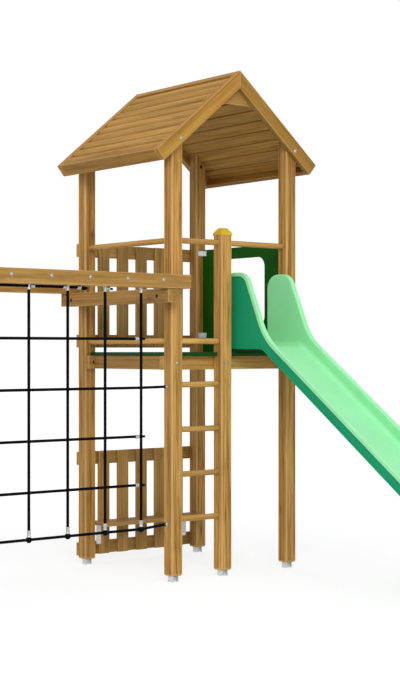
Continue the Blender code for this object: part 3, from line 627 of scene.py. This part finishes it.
def set_out(pattern, places, facing, bm=None):
    """Copies of one pattern at several places, all facing one way."""
    bm = bm or bmesh.new()
    turn = Vector((0.0, 0.0, 1.0)).rotation_difference(Vector(facing)).to_matrix().to_4x4()
    for place in places:
        count = len(bm.verts)
        bm.from_mesh(pattern)
        bm.verts.ensure_lookup_table()
        bmesh.ops.transform(bm, matrix=Matrix.Translation(place) @ turn, verts=bm.verts[count:])
    return bm


BOLT_HEAD = turned_pattern("bolt_head", [
    (0.0, 0.0), (0.0128, 0.0), (0.0132, 0.0005), (0.0130, 0.0016), (0.0110, 0.0020),
    (0.0104, 0.0028), (0.0093, 0.0051), (0.0070, 0.0070), (0.0040, 0.0081), (0.0, 0.0085)])
NUT_PLUG = turned_pattern("nut_plug", [
    (0.0, 0.0), (0.0120, 0.0), (0.0120, 0.0006), (0.0112, 0.0010), (0.0, 0.0010)])

guard_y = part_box("barrier_rail_top")[1].y
front = ([(x, -POST_FACE, PLATFORM_BOLT) for x in (0.0, LADDER_X, 1.0)]
         + [(x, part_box("barge_front_left")[0].y, BARGE_BOLT) for x in (0.0, 0.996)])
bay = [(x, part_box("bay_beam_front")[0].y, BAY_BOLT) for x in BAY_BOLTS_X]
rear = ([(x, 1.0 + POST_FACE, PLATFORM_BOLT) for x in (0.0, 1.0)]
        + [(x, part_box("barge_rear_left")[1].y, BARGE_BOLT) for x in (0.0, 1.0)]
        + [(x, guard_y, z) for x in (0.0, 1.0) for z in GUARD_BOLTS])
cross = [(POST_FACE, y, CROSS_BOLT) for y in (0.0, 1.0)]
for name, places, facing in (("front_bolts", front, (0, -1, 0)), ("bay_bolts", bay, (0, -1, 0)),
                             ("rear_bolts", rear, (0, 1, 0)), ("cross_bolts", cross, (1, 0, 0))):
    steel_piece(name, set_out(BOLT_HEAD, places, facing), BOLT_ZINC, round_angle=60.0)

bm = set_out(NUT_PLUG, [(x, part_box("platform_beam_rear")[0].y, PLATFORM_BOLT) for x in (0.0, 1.0)]
             + [(x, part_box("post_rear_left")[0].y, BARGE_NUT) for x in (0.0, 1.0)], (0, -1, 0))
bm = set_out(NUT_PLUG, [(x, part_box("platform_beam_front")[1].y, PLATFORM_BOLT)
                        for x in (0.0, LADDER_X, 1.0)], (0, 1, 0), bm)
bm = set_out(NUT_PLUG, [(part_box("cross_beam_near")[0].x, y, CROSS_NUT) for y in (0.0, 1.0)],
             (-1, 0, 0), bm)
finish_piece("nut_plugs", bm, [PLUG_BROWN], tone=0.5, round_angle=60.0)


# Rear guards
# Behind the platform, and again just above the ground, five upright slats are screwed to two
# boards that are bolted across the rear posts. All are 92 by 22 mm planed pine.
# The guards' pine is a darker, greyer copy of the beams' pine, painted shade for boards that stand
# in shade.
GUARD_SHADED_PINE = ((0.46, 0.278, 0.085), (0.28, 0.150, 0.036))
GUARD_UPRIGHT = timber("guard_upright", UPRIGHT, *GUARD_SHADED_PINE)
GUARD_CROSSWISE = timber("guard_crosswise", CROSSWISE, *GUARD_SHADED_PINE)
GUARD_ARRIS = 0.0022
RAIL_HIGH = 0.092
SCREW_ASIDE = 0.022
SCREW_ABOVE = 0.020

for node in ("barrier_rail_top", "barrier_rail_bottom"):
    plank(node, GUARD_CROSSWISE, GUARD_ARRIS)
slats = ["barrier_slat_" + str(number) for number in range(1, 6)]
for node in slats:
    plank(node, GUARD_UPRIGHT, GUARD_ARRIS)

ground, brow = (corner.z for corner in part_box("low_barrier"))
for number, node in enumerate(slats, 1):
    low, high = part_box(node)
    board("low_slat_" + str(number), Vector((low.x, low.y, ground)),
          Vector((high.x, high.y, brow)), GUARD_UPRIGHT, GUARD_ARRIS, ["low_barrier"])
low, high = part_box("barrier_rail_top")
for name, bottom in (("low_rail_bottom", ground), ("low_rail_top", brow - RAIL_HIGH)):
    board(name, Vector((low.x, low.y, bottom)), Vector((high.x, high.y, bottom + RAIL_HIGH)),
          GUARD_CROSSWISE, GUARD_ARRIS, ["low_barrier"])

SCREW_HEAD = turned_pattern("screw_head", [
    (0.0, 0.0), (0.0046, 0.0), (0.0048, 0.0003), (0.0042, 0.0007), (0.0022, 0.0009),
    (0.0020, 0.0004), (0.0, 0.0004)], 12)
screw_places = []
for node in slats:
    low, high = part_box(node)
    for z in GUARD_BOLTS:
        for way in (-1, 1):
            screw_places.append(((low.x + high.x) / 2 + way * SCREW_ASIDE, guard_y,
                                 z - way * SCREW_ABOVE))
steel_piece("guard_screws", set_out(SCREW_HEAD, screw_places, (0, 1, 0)), BOLT_ZINC,
            round_angle=50.0)


# Bench below the platform
# A planed board rests on two flat galvanised angles screwed to the low guard's outer slats.
# The angles are bent from 4 mm strip; their screws into the board come from below.
STRIP = 0.004
BRACKETS_X = (0.115, 0.885)
plank("bench_board", PINE_CROSSWISE, SAWN_ARRIS, tone=0.25)
for node in ("bench_bracket_left", "bench_bracket_right"):
    steel_piece(node + "_steel", eased_copy(node, 0.0012), HOT_DIP_STEEL, [node])
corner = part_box("bench_bracket_left")[1]
bm = set_out(SCREW_HEAD, [(x, y, corner.z - STRIP) for x in BRACKETS_X for y in (0.900, 0.985)],
             (0, 0, -1))
bm = set_out(SCREW_HEAD, [(x, corner.y - STRIP, z) for x in BRACKETS_X for z in (0.160, 0.215)],
             (0, -1, 0), bm)
steel_piece("bench_screws", bm, BOLT_ZINC, round_angle=60.0)


# Side panel with a window
# A green polyethylene board with a round-cornered window closes the tower's right side.
# Folded angles hold its four corners to the posts, with bolts through the board.
PANEL_GREEN = plastic("panel_green", (0.004, 0.082, 0.001), (0.04, 0.17, 0.02), 0.4, 0.50, 0.35,
                      0.10)
ANGLE_ZINC = zinc_coat("angle_zinc", (0.90, 0.91, 0.92), (0.70, 0.71, 0.72), 110.0, 0.30)


def mirrored_copy(node, size):
    """An eased copy of a CAD node, mirrored to the tower's other end."""
    bm = eased_copy(node, size)
    bmesh.ops.scale(bm, vec=(1.0, -1.0, 1.0), verts=bm.verts,
                    space=Matrix.Translation((0.0, -0.5, 0.0)))
    bmesh.ops.recalc_face_normals(bm, faces=bm.faces)
    return bm


finish_piece("side_panel_board", eased_copy("side_panel", 0.0018, 3), [PANEL_GREEN],
             ["side_panel"])
panel_bolts = []
for node in ("panel_bracket_top", "panel_bracket_bottom"):
    steel_piece(node + "_steel", eased_copy(node, 0.0010), ANGLE_ZINC, [node])
    steel_piece(node + "_front_steel", mirrored_copy(node, 0.0010), ANGLE_ZINC)
    low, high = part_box(node)
    middle = (low + high) / 2
    panel_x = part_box("side_panel")[1].x
    panel_bolts += [(panel_x, y, middle.z) for y in (middle.y, 1.0 - middle.y)]
steel_piece("panel_bolts", set_out(BOLT_HEAD, panel_bolts, (1, 0, 0)), BOLT_ZINC,
            round_angle=60.0)


# Slide
# One rotationally moulded shell: a flat bed with round fillets between two hollow walls, which
# rise into high wings at the platform. A flat lip runs round each wall; its outer face is sunk.
SLIDE_GREEN = plastic("slide_green", (0.30, 0.76, 0.385), (0.50, 0.88, 0.56), 0.30, 0.42, 0.12,
                      0.25)
SLIDE_TEAL = plastic("slide_teal", (0.009, 0.300, 0.135), (0.05, 0.38, 0.22), 0.2, 0.45, 0.15,
                     0.10)
slide_low, slide_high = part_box("slide")
BACK = slide_high.y
END = slide_low.y
WALL = 0.035
FILLET = 0.036
FILLET_STEPS = 8
SHELL = 0.006
OUTER_ROLL = 0.006
INNER_ROLL = 0.012
LIP = 0.020
HEM_LIP = 0.003
SINK = 0.007
SINK_DRAFT = 0.0012
BED_START = 1.545
BED_FALL = math.radians(35.0)
FOLD = -0.278
FOLD_RADIUS = 0.150
KNEE = -2.1703
KNEE_RADIUS = 0.450
RUN_OUT = 0.220
HEM_START = 1.520
HEM_FOLD = FOLD - 0.0243
HEM_RUN_OUT = 0.212
WING_TOP = 2.036
WING_FRONT = -0.1414
WING_FALL = math.radians(65.24)
RIM_HIGH = 0.102
TOE_HIGH = 0.025


def turned_corners(corners, radii, steps=8):
    """Points along a line from corner to corner, with each corner turned to its radius."""
    points = []
    for index, radius in enumerate(radii):
        here = Vector(corners[index])
        if radius == 0:
            points.append(here)
            continue
        back = (Vector(corners[index - 1]) - here).normalized()
        ahead = (Vector(corners[index + 1]) - here).normalized()
        half = back.angle(ahead) / 2
        centre = here + (back + ahead).normalized() * radius / math.sin(half)
        start = (here + back * radius / math.tan(half) - centre).normalized()
        finish = (here + ahead * radius / math.tan(half) - centre).normalized()
        for step in range(steps + 1):
            points.append(centre + start.slerp(finish, step / steps) * radius)
    return points


def off_line(place, line):
    """How far a point (y, z) is from a bent line."""
    nearest = 9.0
    for here, there in zip(line, line[1:]):
        long = there - here
        share = max(0.0, min(1.0, (place - here).dot(long) / long.length_squared))
        nearest = min(nearest, (place - here - long * share).length)
    return nearest


bed_line = turned_corners([(BACK, BED_START), (FOLD, BED_START), (KNEE, RUN_OUT),
                           (END, RUN_OUT)], [0, FOLD_RADIUS, KNEE_RADIUS, 0])
hem_line = turned_corners([(BACK, HEM_START), (HEM_FOLD, HEM_START), (KNEE, HEM_RUN_OUT),
                           (END, HEM_RUN_OUT)], [0, 0.080, KNEE_RADIUS, 0])
wing_slope = math.tan(WING_FALL)
bed_slope = math.tan(BED_FALL)
drop = WING_TOP - BED_START - RIM_HIGH - bed_slope * (WING_FRONT - FOLD)
foot_y = WING_FRONT - drop / (wing_slope - bed_slope)
foot_z = WING_TOP - wing_slope * (WING_FRONT - foot_y)
rim_line = turned_corners([(BACK, BED_START), (BACK, WING_TOP), (WING_FRONT, WING_TOP),
                           (foot_y, foot_z), (KNEE, RUN_OUT + RIM_HIGH),
                           (END, RUN_OUT + RIM_HIGH), (END, RUN_OUT + TOE_HIGH)],
                          [0, 0.098, 0.112, 0.400, KNEE_RADIUS, 0.050, 0], 12)
wall_outline = rim_line[1:] + list(reversed(hem_line))

for name, outer, way in (("slide_left_wall", slide_low.x, 1.0),
                         ("slide_right_wall", slide_high.x, -1.0)):
    bm = cut_shape([(outer, y, z) for y, z in wall_outline], Vector((way * WALL, 0.0, 0.0)))
    for depth, roll in ((0.0, OUTER_ROLL), (WALL, INNER_ROLL)):
        edges = [e for e in bm.edges
                 if all(abs(abs(v.co.x - outer) - depth) < 0.0005 for v in e.verts)]
        round_arrises(bm, edges, roll, 4)
    outside = [f for f in bm.faces if f.normal.x * way < -0.999 and f.calc_area() > 0.1]
    bmesh.ops.inset_region(bm, faces=outside, thickness=LIP, use_even_offset=True)
    ring = set(outside[0].verts)
    for vert in ring:
        edge = next(e.other_vert(vert) for e in vert.link_edges if e.other_vert(vert) not in ring)
        if off_line(Vector(edge.co.yz), hem_line) < OUTER_ROLL + 0.004:
            if min(abs(edge.co.y - BACK), abs(edge.co.y - END)) < OUTER_ROLL + 0.001:
                vert.co.z = edge.co.z + HEM_LIP
            else:
                vert.co = edge.co.lerp(vert.co, HEM_LIP / LIP)
    sunk = bmesh.ops.inset_region(bm, faces=outside, thickness=SINK_DRAFT, depth=-SINK,
                                  use_even_offset=True)
    for face in sunk["faces"] + outside:
        face.material_index = 1
    for face in bm.faces:
        middle = face.calc_center_median()
        if off_line(Vector(middle.yz), hem_line) < OUTER_ROLL + HEM_LIP + 0.001:
            face.material_index = 1
    piece = finish_piece(name, bm, [SLIDE_GREEN, SLIDE_TEAL], ["slide"])
    for polygon in piece.data.polygons:
        polygon.use_smooth = abs(polygon.normal.x) < 0.999


def new_edges(grown):
    """The edges that an extrusion has made between its new vertices."""
    verts = set(new_verts(grown))
    return [item for item in grown["geom"] if isinstance(item, bmesh.types.BMEdge)
            and item.verts[0] in verts and item.verts[1] in verts]


inner_left = slide_low.x + WALL
inner_right = slide_high.x - WALL
section = []
for step in range(FILLET_STEPS):
    turn = math.radians(90.0) * step / FILLET_STEPS
    section.append((inner_left + FILLET * (1.0 - math.cos(turn)),
                    FILLET * (1.0 - math.sin(turn))))
section += [(inner_left + FILLET, 0.0), (inner_left + FILLET + 0.008, 0.0)]
section += [(inner_left + inner_right - x, z) for x, z in reversed(section)]
bm = bmesh.new()
line = [bm.verts.new((x, BACK, BED_START + z)) for x, z in section]
front = [bm.edges.new(pair) for pair in zip(line, line[1:])]
for here, there in zip(bed_line, bed_line[1:]):
    if (there - here).length < 0.0005:
        continue
    grown = bmesh.ops.extrude_edge_only(bm, edges=front)
    front = new_edges(grown)
    bmesh.ops.translate(bm, vec=(0.0, there[0] - here[0], there[1] - here[1]),
                        verts=new_verts(grown))
bmesh.ops.recalc_face_normals(bm, faces=bm.faces)
bm.faces.ensure_lookup_table()
if bm.faces[len(section) // 2].normal.z < 0.0:
    bmesh.ops.reverse_faces(bm, faces=bm.faces)
bed = finish_piece("slide_bed", bm, [SLIDE_GREEN], ["slide"], round_angle=30.0)
bm = bmesh.new()
bm.from_mesh(bed.data)
for edge in bm.edges:
    if edge.is_boundary:
        edge.smooth = False
bm.to_mesh(bed.data)
bm.free()
shell = bed.modifiers.new("shell", "SOLIDIFY")
shell.thickness = SHELL
shell.offset = -1.0


# Slide batten and run-out stand
# A strip of the green board lifts the slide's start off the deck. Far down, a galvanised tube
# with two legs holds the run-out clear of the ground.
TUBE = 0.040
TUBE_SIDES = 28
LEG_SET_IN = 0.012
WELD_ROUND = 0.0025
finish_piece("slide_batten_strip", eased_copy("slide_batten", 0.002), [DECK_GREEN],
             ["slide_batten"])


def run_along(bm, path, radius, sides, lobes=0, depth=0.0, twist=0.0):
    """A bar or rope pushed along a path, one short extrusion after another."""
    verts = bmesh.ops.create_circle(bm, cap_ends=True, segments=sides, radius=radius)["verts"]
    if lobes:
        for vert in verts:
            around = math.atan2(vert.co.y, vert.co.x)
            vert.co *= 1.0 - depth * (1.0 - abs(math.cos(around * lobes / 2)))
    edges = list({edge for vert in verts for edge in vert.link_edges})
    aim = (path[1] - path[0]).normalized()
    turn = Vector((0.0, 0.0, 1.0)).rotation_difference(aim).to_matrix()
    bmesh.ops.rotate(bm, matrix=turn, verts=verts)
    bmesh.ops.translate(bm, vec=path[0], verts=verts)
    for index in range(1, len(path)):
        here = path[index]
        step = here - path[index - 1]
        ahead = (path[min(index + 1, len(path) - 1)] - path[index - 1]).normalized()
        grown = bmesh.ops.extrude_edge_only(bm, edges=edges)
        verts = new_verts(grown)
        edges = new_edges(grown)
        bmesh.ops.translate(bm, vec=step, verts=verts)
        turn = aim.rotation_difference(ahead).to_matrix()
        aim = ahead
        if twist:
            turn = Matrix.Rotation(twist * step.length, 3, aim) @ turn
        bmesh.ops.rotate(bm, cent=here, matrix=turn, verts=verts)
    bmesh.ops.edgeloop_fill(bm, edges=edges)


stand_low, stand_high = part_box("slide_stand")
stand_y = (stand_low.y + stand_high.y) / 2
stand_top = stand_high.z - TUBE / 2
weld = stand_top - TUBE / 2
tubes = [(stand_low.x, stand_top, stand_high.x, stand_top, TUBE / 2)]
for x in (stand_low.x + TUBE, stand_high.x - TUBE):
    tubes += [(x, stand_low.z, x, stand_top - LEG_SET_IN, TUBE / 2),
              (x, weld - 0.006, x, weld + 0.001, TUBE / 2 + WELD_ROUND)]
bm = bmesh.new()
for from_x, from_z, to_x, to_z, radius in tubes:
    run_along(bm, [Vector((from_x, stand_y, from_z)), Vector((to_x, stand_y, to_z))], radius,
              TUBE_SIDES)
rims = [e for e in bm.edges if e.is_manifold and e.calc_face_angle() > 1.2]
round_arrises(bm, rims, 0.0015)
bmesh.ops.recalc_face_normals(bm, faces=bm.faces)
steel_piece("slide_stand_tube", bm, HOT_DIP_STEEL, ["slide_stand"], round_angle=40.0)


# Roof
# Nine crowned pine boards a side lie between the barge boards, with a narrow ridge strip above
# and an eave board on edge below. The barge boards are bolted to the posts and meet plumb.
ROOF_PINE = ((0.470, 0.258, 0.050), (0.280, 0.138, 0.023))
RIDGE_PINE = ((0.460, 0.252, 0.052), (0.300, 0.150, 0.028))
ROOF_LENGTHWISE = timber("roof_lengthwise", LENGTHWISE, *ROOF_PINE)
BARGE_LEFT = timber("barge_left_slope", (0.0, ROOF_PITCH, 0.0), *ROOF_PINE)
BARGE_RIGHT = timber("barge_right_slope", (0.0, -ROOF_PITCH, 0.0), *ROOF_PINE)
RIDGE_LENGTHWISE = timber("ridge_lengthwise", LENGTHWISE, *RIDGE_PINE)
RIDGE_X = 0.5
RIDGE_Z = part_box("barge_front_left")[1].z
ROOF_LONG = 0.906
BARGE_DEEP = 0.090
BOARD_TOP = -0.005
BOARD_THICK = 0.028
BOARD_PITCH = 0.0929
BOARD_GAP = 0.0008
BOARD_CROWN = 0.0120
BOARD_SHOULDER = 0.006
BOARD_GROOVE = 0.0046
BOARD_BEVEL = 0.006
# A dark tone painted as shade on the faces by the grooves, and the strength of a painted highlight
# on each board's upper part.
GROOVE_SHADE_TONE = 0.02
HIGHLIGHT_STRIP = 0.45
BOARD_TONES = (0.62, 0.50, 0.70, 0.46, 0.66, 0.54, 0.74, 0.48, 0.60)
LOWEST_EDGE = 0.8777
ROOF_ARRIS = 0.002
# The front right barge board's low tone is painted shade.
BARGE_SHADE_TONES = {"front_left": 0.62, "front_right": 0.05, "rear_left": 0.45, "rear_right": 0.40}


def on_slope(side, along, above, y):
    """A point measured down the slope from the ridge and up from the barge boards' top."""
    sine, cosine = math.sin(ROOF_PITCH), math.cos(ROOF_PITCH)
    return Vector((RIDGE_X + side * (along * cosine + above * sine), y,
                   RIDGE_Z - along * sine + above * cosine))


def slope_board(outline, side, near, far):
    """A board that runs along the ridge, from an outline of (down the slope, above) points."""
    return cut_shape([on_slope(side, along, above, near) for along, above in outline],
                     Vector((0.0, far - near, 0.0)))


def paint_board_light_and_shade(bm, side, upper, lower):
    """Mark a painted highlight on each board's upper part and painted shade along its grooves."""
    wear_and_highlight = bm.faces.layers.float.new("arris")
    painted_shade = bm.faces.layers.float.new("tone")
    for face in bm.faces:
        if abs(face.normal.y) > 0.5:
            continue
        middle = face.calc_center_median()
        along = (side * (middle.x - RIDGE_X) * math.cos(ROOF_PITCH)
                 - (middle.z - RIDGE_Z) * math.sin(ROOF_PITCH))
        across = (along - upper) / (lower - upper)
        below = face.normal.z < 0.0
        # Faces next to a groove get a dark tone as painted shade; the upper part of the top gets a
        # painted highlight.
        if across < 0.05 or across > (0.95 if below else 0.85):
            face[painted_shade] = GROOVE_SHADE_TONE
        elif across < 0.30 and not below:
            face[wear_and_highlight] = HIGHLIGHT_STRIP


near, far = (corner.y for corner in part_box("roof_slope_left"))
shoulder = BOARD_TOP - BOARD_CROWN - BOARD_SHOULDER
bottom = BOARD_TOP - BOARD_THICK
for side, word, barge_pine in ((-1, "left", BARGE_LEFT), (1, "right", BARGE_RIGHT)):
    slope_node = "roof_slope_" + word
    for number, tone in enumerate(BOARD_TONES):
        lower = LOWEST_EDGE - number * BOARD_PITCH - BOARD_GAP / 2
        upper = lower - BOARD_PITCH + BOARD_GAP
        outline = [(upper, bottom + BOARD_BEVEL), (upper, shoulder)]
        for step in range(11):
            across = step / 10
            crown = BOARD_CROWN * abs(2 * across - 1) ** 2.6
            outline.append((upper + BOARD_GROOVE + (lower - upper - 2 * BOARD_GROOVE) * across,
                            BOARD_TOP - crown))
        outline += [(lower, shoulder), (lower, bottom + BOARD_BEVEL),
                    (lower - BOARD_BEVEL, bottom), (upper + BOARD_BEVEL, bottom)]
        bm = slope_board(outline, side, near, far)
        paint_board_light_and_shade(bm, side, upper, lower)
        finish_piece("roof_board_" + word + "_" + str(number + 1), bm, [ROOF_LENGTHWISE],
                     [slope_node], tone=tone, round_angle=20.0)
    upper = LOWEST_EDGE - len(BOARD_TONES) * BOARD_PITCH
    mitre = BOARD_THICK * math.tan(ROOF_PITCH)
    bm = slope_board([(0.0002, -0.0003), (upper, -0.0003), (upper, -BOARD_THICK),
                      (mitre + 0.0002, -BOARD_THICK)], side, near, far)
    round_arrises(bm, bm.edges[:], 0.0012, 1)
    finish_piece("ridge_strip_" + word, bm, [RIDGE_LENGTHWISE], [slope_node], tone=0.5)

    eave = LOWEST_EDGE + 0.0003
    bm = slope_board([(eave, 0.0), (ROOF_LONG, 0.0), (ROOF_LONG, -BARGE_DEEP),
                      (eave, -BARGE_DEEP)], side, near, far)
    round_arrises(bm, bm.edges[:], ROOF_ARRIS)
    finish_piece("fascia_" + word + "_timber", bm, [ROOF_LENGTHWISE], ["fascia_" + word],
                 tone=0.10)

    plumb = BARGE_DEEP * math.tan(ROOF_PITCH)
    barge = [(0.0, 0.0), (ROOF_LONG, 0.0), (ROOF_LONG, -BARGE_DEEP), (plumb, -BARGE_DEEP)]
    for end in ("front", "rear"):
        node = "barge_" + end + "_" + word
        low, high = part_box(node)
        bm = slope_board(barge, side, low.y, high.y)
        bmesh.ops.translate(bm, vec=(side * 0.0001, 0.0, 0.0), verts=bm.verts)
        round_arrises(bm, bm.edges[:], ROOF_ARRIS)
        finish_piece(node + "_timber", bm, [barge_pine], [node],
                     tone=BARGE_SHADE_TONES[end + "_" + word])

finish_piece("apex_gusset_front", eased_copy("apex_gusset", 0.002), [PINE_CROSSWISE],
             ["apex_gusset"])
finish_piece("apex_gusset_rear", mirrored_copy("apex_gusset", 0.002), [PINE_CROSSWISE])


# Net bay beams
# Two pine beams, 90 mm square, run from the tower to two posts further left, before and behind
# the posts. Cross beams below them tie each pair of posts and carry the beams' ends.
plank("bay_beam_front", PINE_CROSSWISE, SAWN_ARRIS, tone=0.30)
plank("bay_beam_rear", PINE_CROSSWISE, SAWN_ARRIS, tone=0.40)
# The near cross beam's low tone is painted shade, for the shade under the bay beam.
plank("cross_beam_near", PINE_LENGTHWISE, SAWN_ARRIS, tone=0.02)
plank("cross_beam_far", PINE_LENGTHWISE, SAWN_ARRIS, tone=0.40)


# Climbing net
# Black combination rope, six strands of polyester laid over steel wire. Five ropes hang from the
# beam and rows cross them. Two rows are tied to the posts; pressed sleeves close eyes and ends.
NET_Y = -0.0903
HUNG_ROPE = 0.0190
ROW_ROPE = 0.0185
EYE_ROPE = 0.0150
BEND_ROPE = 0.013
STRANDS = 6
LAY = math.radians(3750.0)
UPRIGHTS = (-1.4385, -1.1605, -0.8825, -0.6045, -0.3265)
ROWS = (1.585, 1.275, 0.966, 0.658, 0.377)
TOP_ROPE = 1.8997
TOP_END = -0.745
TOP_SLEEVES = (-1.135, -0.905, -0.800, -0.584)
HANG = 1.9117
POST_EYE = 0.0125
EYE = 0.0185
EYE_REACH = 0.034
BALL_ROUND = 0.0195
UP = (0.0, 0.0, 1.0)
LEFT_UPRIGHT = UPRIGHTS[0]
RIGHT_UPRIGHT = UPRIGHTS[-1]
NEAR_POST = -POST_FACE
FAR_POST = -1.720
TOP_ROW, TIED_ROW, MIDDLE_ROW, FOURTH_ROW, FOOT_ROW = ROWS


def rope_yarn():
    """Black polyester yarn, painted darker in the valleys between the yarns and a little grey where
    they stand up, as painted shade and highlight.
    """
    tree, given, end = skin_group("rope_yarn", {})
    yarns = noise(tree, given["Place"], (900.0, 900.0, 500.0))
    dust = noise(tree, given["Place"], 24.0)
    # The yarn valleys are painted darker as shade and the raised yarns lighter as highlight.
    colour = blend(tree, remap(tree, yarns, 0.35, 0.75), (0.0015, 0.0015, 0.0016),
                   (0.0045, 0.0045, 0.0048))
    colour = blend(tree, remap(tree, dust, 0.55, 0.80, 0.0, 0.20), colour, (0.013, 0.012, 0.011))
    wire(tree, end, {"Color": colour, "Roughness": remap(tree, yarns, 0.3, 0.7, 0.70, 0.90),
                     "Height": yarns})
    return tree


BLACK_ROPE = coated("black_rope", rope_yarn(), {}, 0.6, 0.0006, {"Specular IOR Level": 0.05})
BLACK_RUBBER = plastic("black_rubber", (0.0015, 0.0015, 0.0016), (0.02, 0.02, 0.02), 0.2, 0.70,
                       0.4, 0.06)
SLEEVE_ALLOY = zinc_coat("sleeve_alloy", (0.56, 0.56, 0.55), (0.30, 0.30, 0.30), 400.0, 0.75)


def rope_piece(name, bm, material, round_angle):
    """A finished black piece of the net."""
    finish_piece(name, bm, [material], ["net"], round_angle=round_angle)


def steps_between(corners, long=0.008):
    """Points along straight lines between corners, a short step apart."""
    points = [Vector(corners[0])]
    for here, there in zip(corners, corners[1:]):
        here, there = Vector(here), Vector(there)
        count = max(2, round((there - here).length / long))
        points += [here.lerp(there, step / count) for step in range(1, count + 1)]
    return points


def laid_rope(points, thick=ROW_ROPE):
    """Six strands twisted round each other along a path, as a pattern to set out."""
    bm = bmesh.new()
    run_along(bm, points, thick / 2, 24, STRANDS, 0.16, LAY)
    bmesh.ops.recalc_face_normals(bm, faces=bm.faces)
    return mesh_of("laid_rope", bm)


def end_eye(x, way):
    """The small eye in which a row's end goes round an upright."""
    points = [Vector((x - way * EYE_REACH, NET_Y + 0.004, 0.0))]
    for step in range(17):
        turn = math.radians(125.0 - 250.0 * step / 16)
        points.append(Vector((x + way * (EYE * math.cos(turn) + 0.003),
                              NET_Y + EYE * math.sin(turn), 0.0)))
    return points + [Vector((x - way * EYE_REACH, NET_Y - 0.004, 0.0))]


hanging = laid_rope(steps_between([(0.0, 0.0, HANG - 0.012), (0.0, 0.0, FOOT_ROW)]), HUNG_ROPE)
bm = set_out(hanging, [(x, NET_Y, 0.0) for x in UPRIGHTS], UP)
rope_piece("net_uprights", bm, BLACK_ROPE, 60.0)

tied_row = laid_rope(steps_between([
    (FAR_POST + 0.020, POST_EYE - 0.002, 0.0), (LEFT_UPRIGHT, NET_Y, 0.0),
    (RIGHT_UPRIGHT, NET_Y, 0.0), (NEAR_POST - 0.020, POST_EYE - 0.002, 0.0)]))
short_row = laid_rope(steps_between([(LEFT_UPRIGHT + EYE_REACH, NET_Y, 0.0),
                                     (RIGHT_UPRIGHT - EYE_REACH, NET_Y, 0.0)]))
tied_heights = [Vector((0.0, 0.0, z)) for z in (TIED_ROW, FOOT_ROW)]
short_heights = [Vector((0.0, 0.0, z)) for z in (TOP_ROW, MIDDLE_ROW, FOURTH_ROW)]
bm = set_out(tied_row, tied_heights, UP)
for rope in (short_row, laid_rope(end_eye(LEFT_UPRIGHT, -1.0), EYE_ROPE),
             laid_rope(end_eye(RIGHT_UPRIGHT, 1.0), EYE_ROPE)):
    bm = set_out(rope, short_heights, UP, bm)
rope_piece("net_rows", bm, BLACK_ROPE, 60.0)

bend = []
for step in range(15):
    turn = math.radians(180.0 + 360.0 * step / 14)
    bend.append(Vector((TOP_END - 0.018 + 0.020 * math.cos(turn), 0.0,
                        -0.0045 + 0.0065 * math.sin(turn))))
top_long = laid_rope(steps_between([(FAR_POST + 0.010, 0.0, 0.0), (TOP_END - 0.045, 0.0, 0.0)]))
top_short = laid_rope(steps_between([(UPRIGHTS[3] + 0.008, 0.0, -0.001),
                                     (UPRIGHTS[3] + 0.056, 0.0, -0.004)]), EYE_ROPE)
bm = bmesh.new()
for rope in (top_long, laid_rope(bend, BEND_ROPE), top_short):
    bm = set_out(rope, [(0.0, NET_Y, TOP_ROPE)], UP, bm)
rope_piece("net_top_rope", bm, BLACK_ROPE, 60.0)

HALF_SLEEVE = [(0.0, 0.0135), (0.0105, 0.0135), (0.0122, 0.0122), (0.0126, 0.0100),
               (0.0126, 0.0050), (0.0116, 0.0035)]
SLEEVE = turned_pattern("sleeve", [(radius, -height) for radius, height in HALF_SLEEVE]
                        + HALF_SLEEVE[::-1], 20)
HANGER = turned_pattern("hanger", [
    (0.0, 0.0), (0.0190, 0.0), (0.0195, -0.0008), (0.0190, -0.0030), (0.0125, -0.0036),
    (0.0108, -0.0060), (0.0104, -0.0080), (0.0104, -0.0270), (0.0112, -0.0290),
    (0.0112, -0.0330), (0.0095, -0.0345), (0.0, -0.0345)])
BALL_SLEEVE = turned_pattern("ball_sleeve", [
    (0.0, 0.0), (0.0125, 0.0), (0.0128, 0.004), (0.0112, 0.007), (0.0108, 0.012),
    (0.0108, 0.034), (0.0112, 0.037), (0.0104, 0.040), (0.0, 0.040)])
EYE_RING = turned_pattern("eye_ring", [(0.0095 + 0.0032 * math.cos(math.radians(30.0 * k)),
                                        0.0032 * math.sin(math.radians(30.0 * k)))
                                       for k in range(13)])
BALL = turned_pattern("ball", [(0.0, -0.0190), (0.0060, -0.0190)] + [
    (BALL_ROUND * math.cos(math.radians(angle)), BALL_ROUND * math.sin(math.radians(angle)))
    for angle in range(-65, 66, 10)] + [(0.0060, 0.0190), (0.0, 0.0190)], 28)

sleeves = [(x, NET_Y, height.z) for height in short_heights
           for x in (LEFT_UPRIGHT + 0.033, RIGHT_UPRIGHT - 0.033)]
sleeves += [(x, NET_Y, TOP_ROPE) for x in TOP_SLEEVES]
bm = set_out(SLEEVE, sleeves, (1, 0, 0))
bm = set_out(HANGER, [(x, NET_Y, HANG) for x in UPRIGHTS], UP, bm)
bm = set_out(BALL_SLEEVE, [(x, NET_Y, FOOT_ROW + 0.016) for x in UPRIGHTS], UP, bm)
bm = set_out(BOLT_HEAD, [(NEAR_POST, POST_EYE, z) for z in (TIED_ROW, FOOT_ROW)], (-1, 0, 0), bm)
bm = set_out(BOLT_HEAD, [(FAR_POST, POST_EYE, z) for z in (TIED_ROW, FOOT_ROW)], (1, 0, 0), bm)
finish_piece("net_sleeves", bm, [SLEEVE_ALLOY], ["net"], round_angle=50.0)
bm = set_out(EYE_RING, [(x, POST_EYE, z) for z in (TIED_ROW, FOOT_ROW)
                        for x in (NEAR_POST - 0.0115, FAR_POST + 0.0115)], (0, 1, 0))
rope_piece("net_eyes", bm, BLACK_RUBBER, 50.0)
bm = set_out(BALL, [(x, NET_Y, FOOT_ROW) for x in UPRIGHTS], UP)
rope_piece("net_balls", bm, BLACK_RUBBER, 50.0)
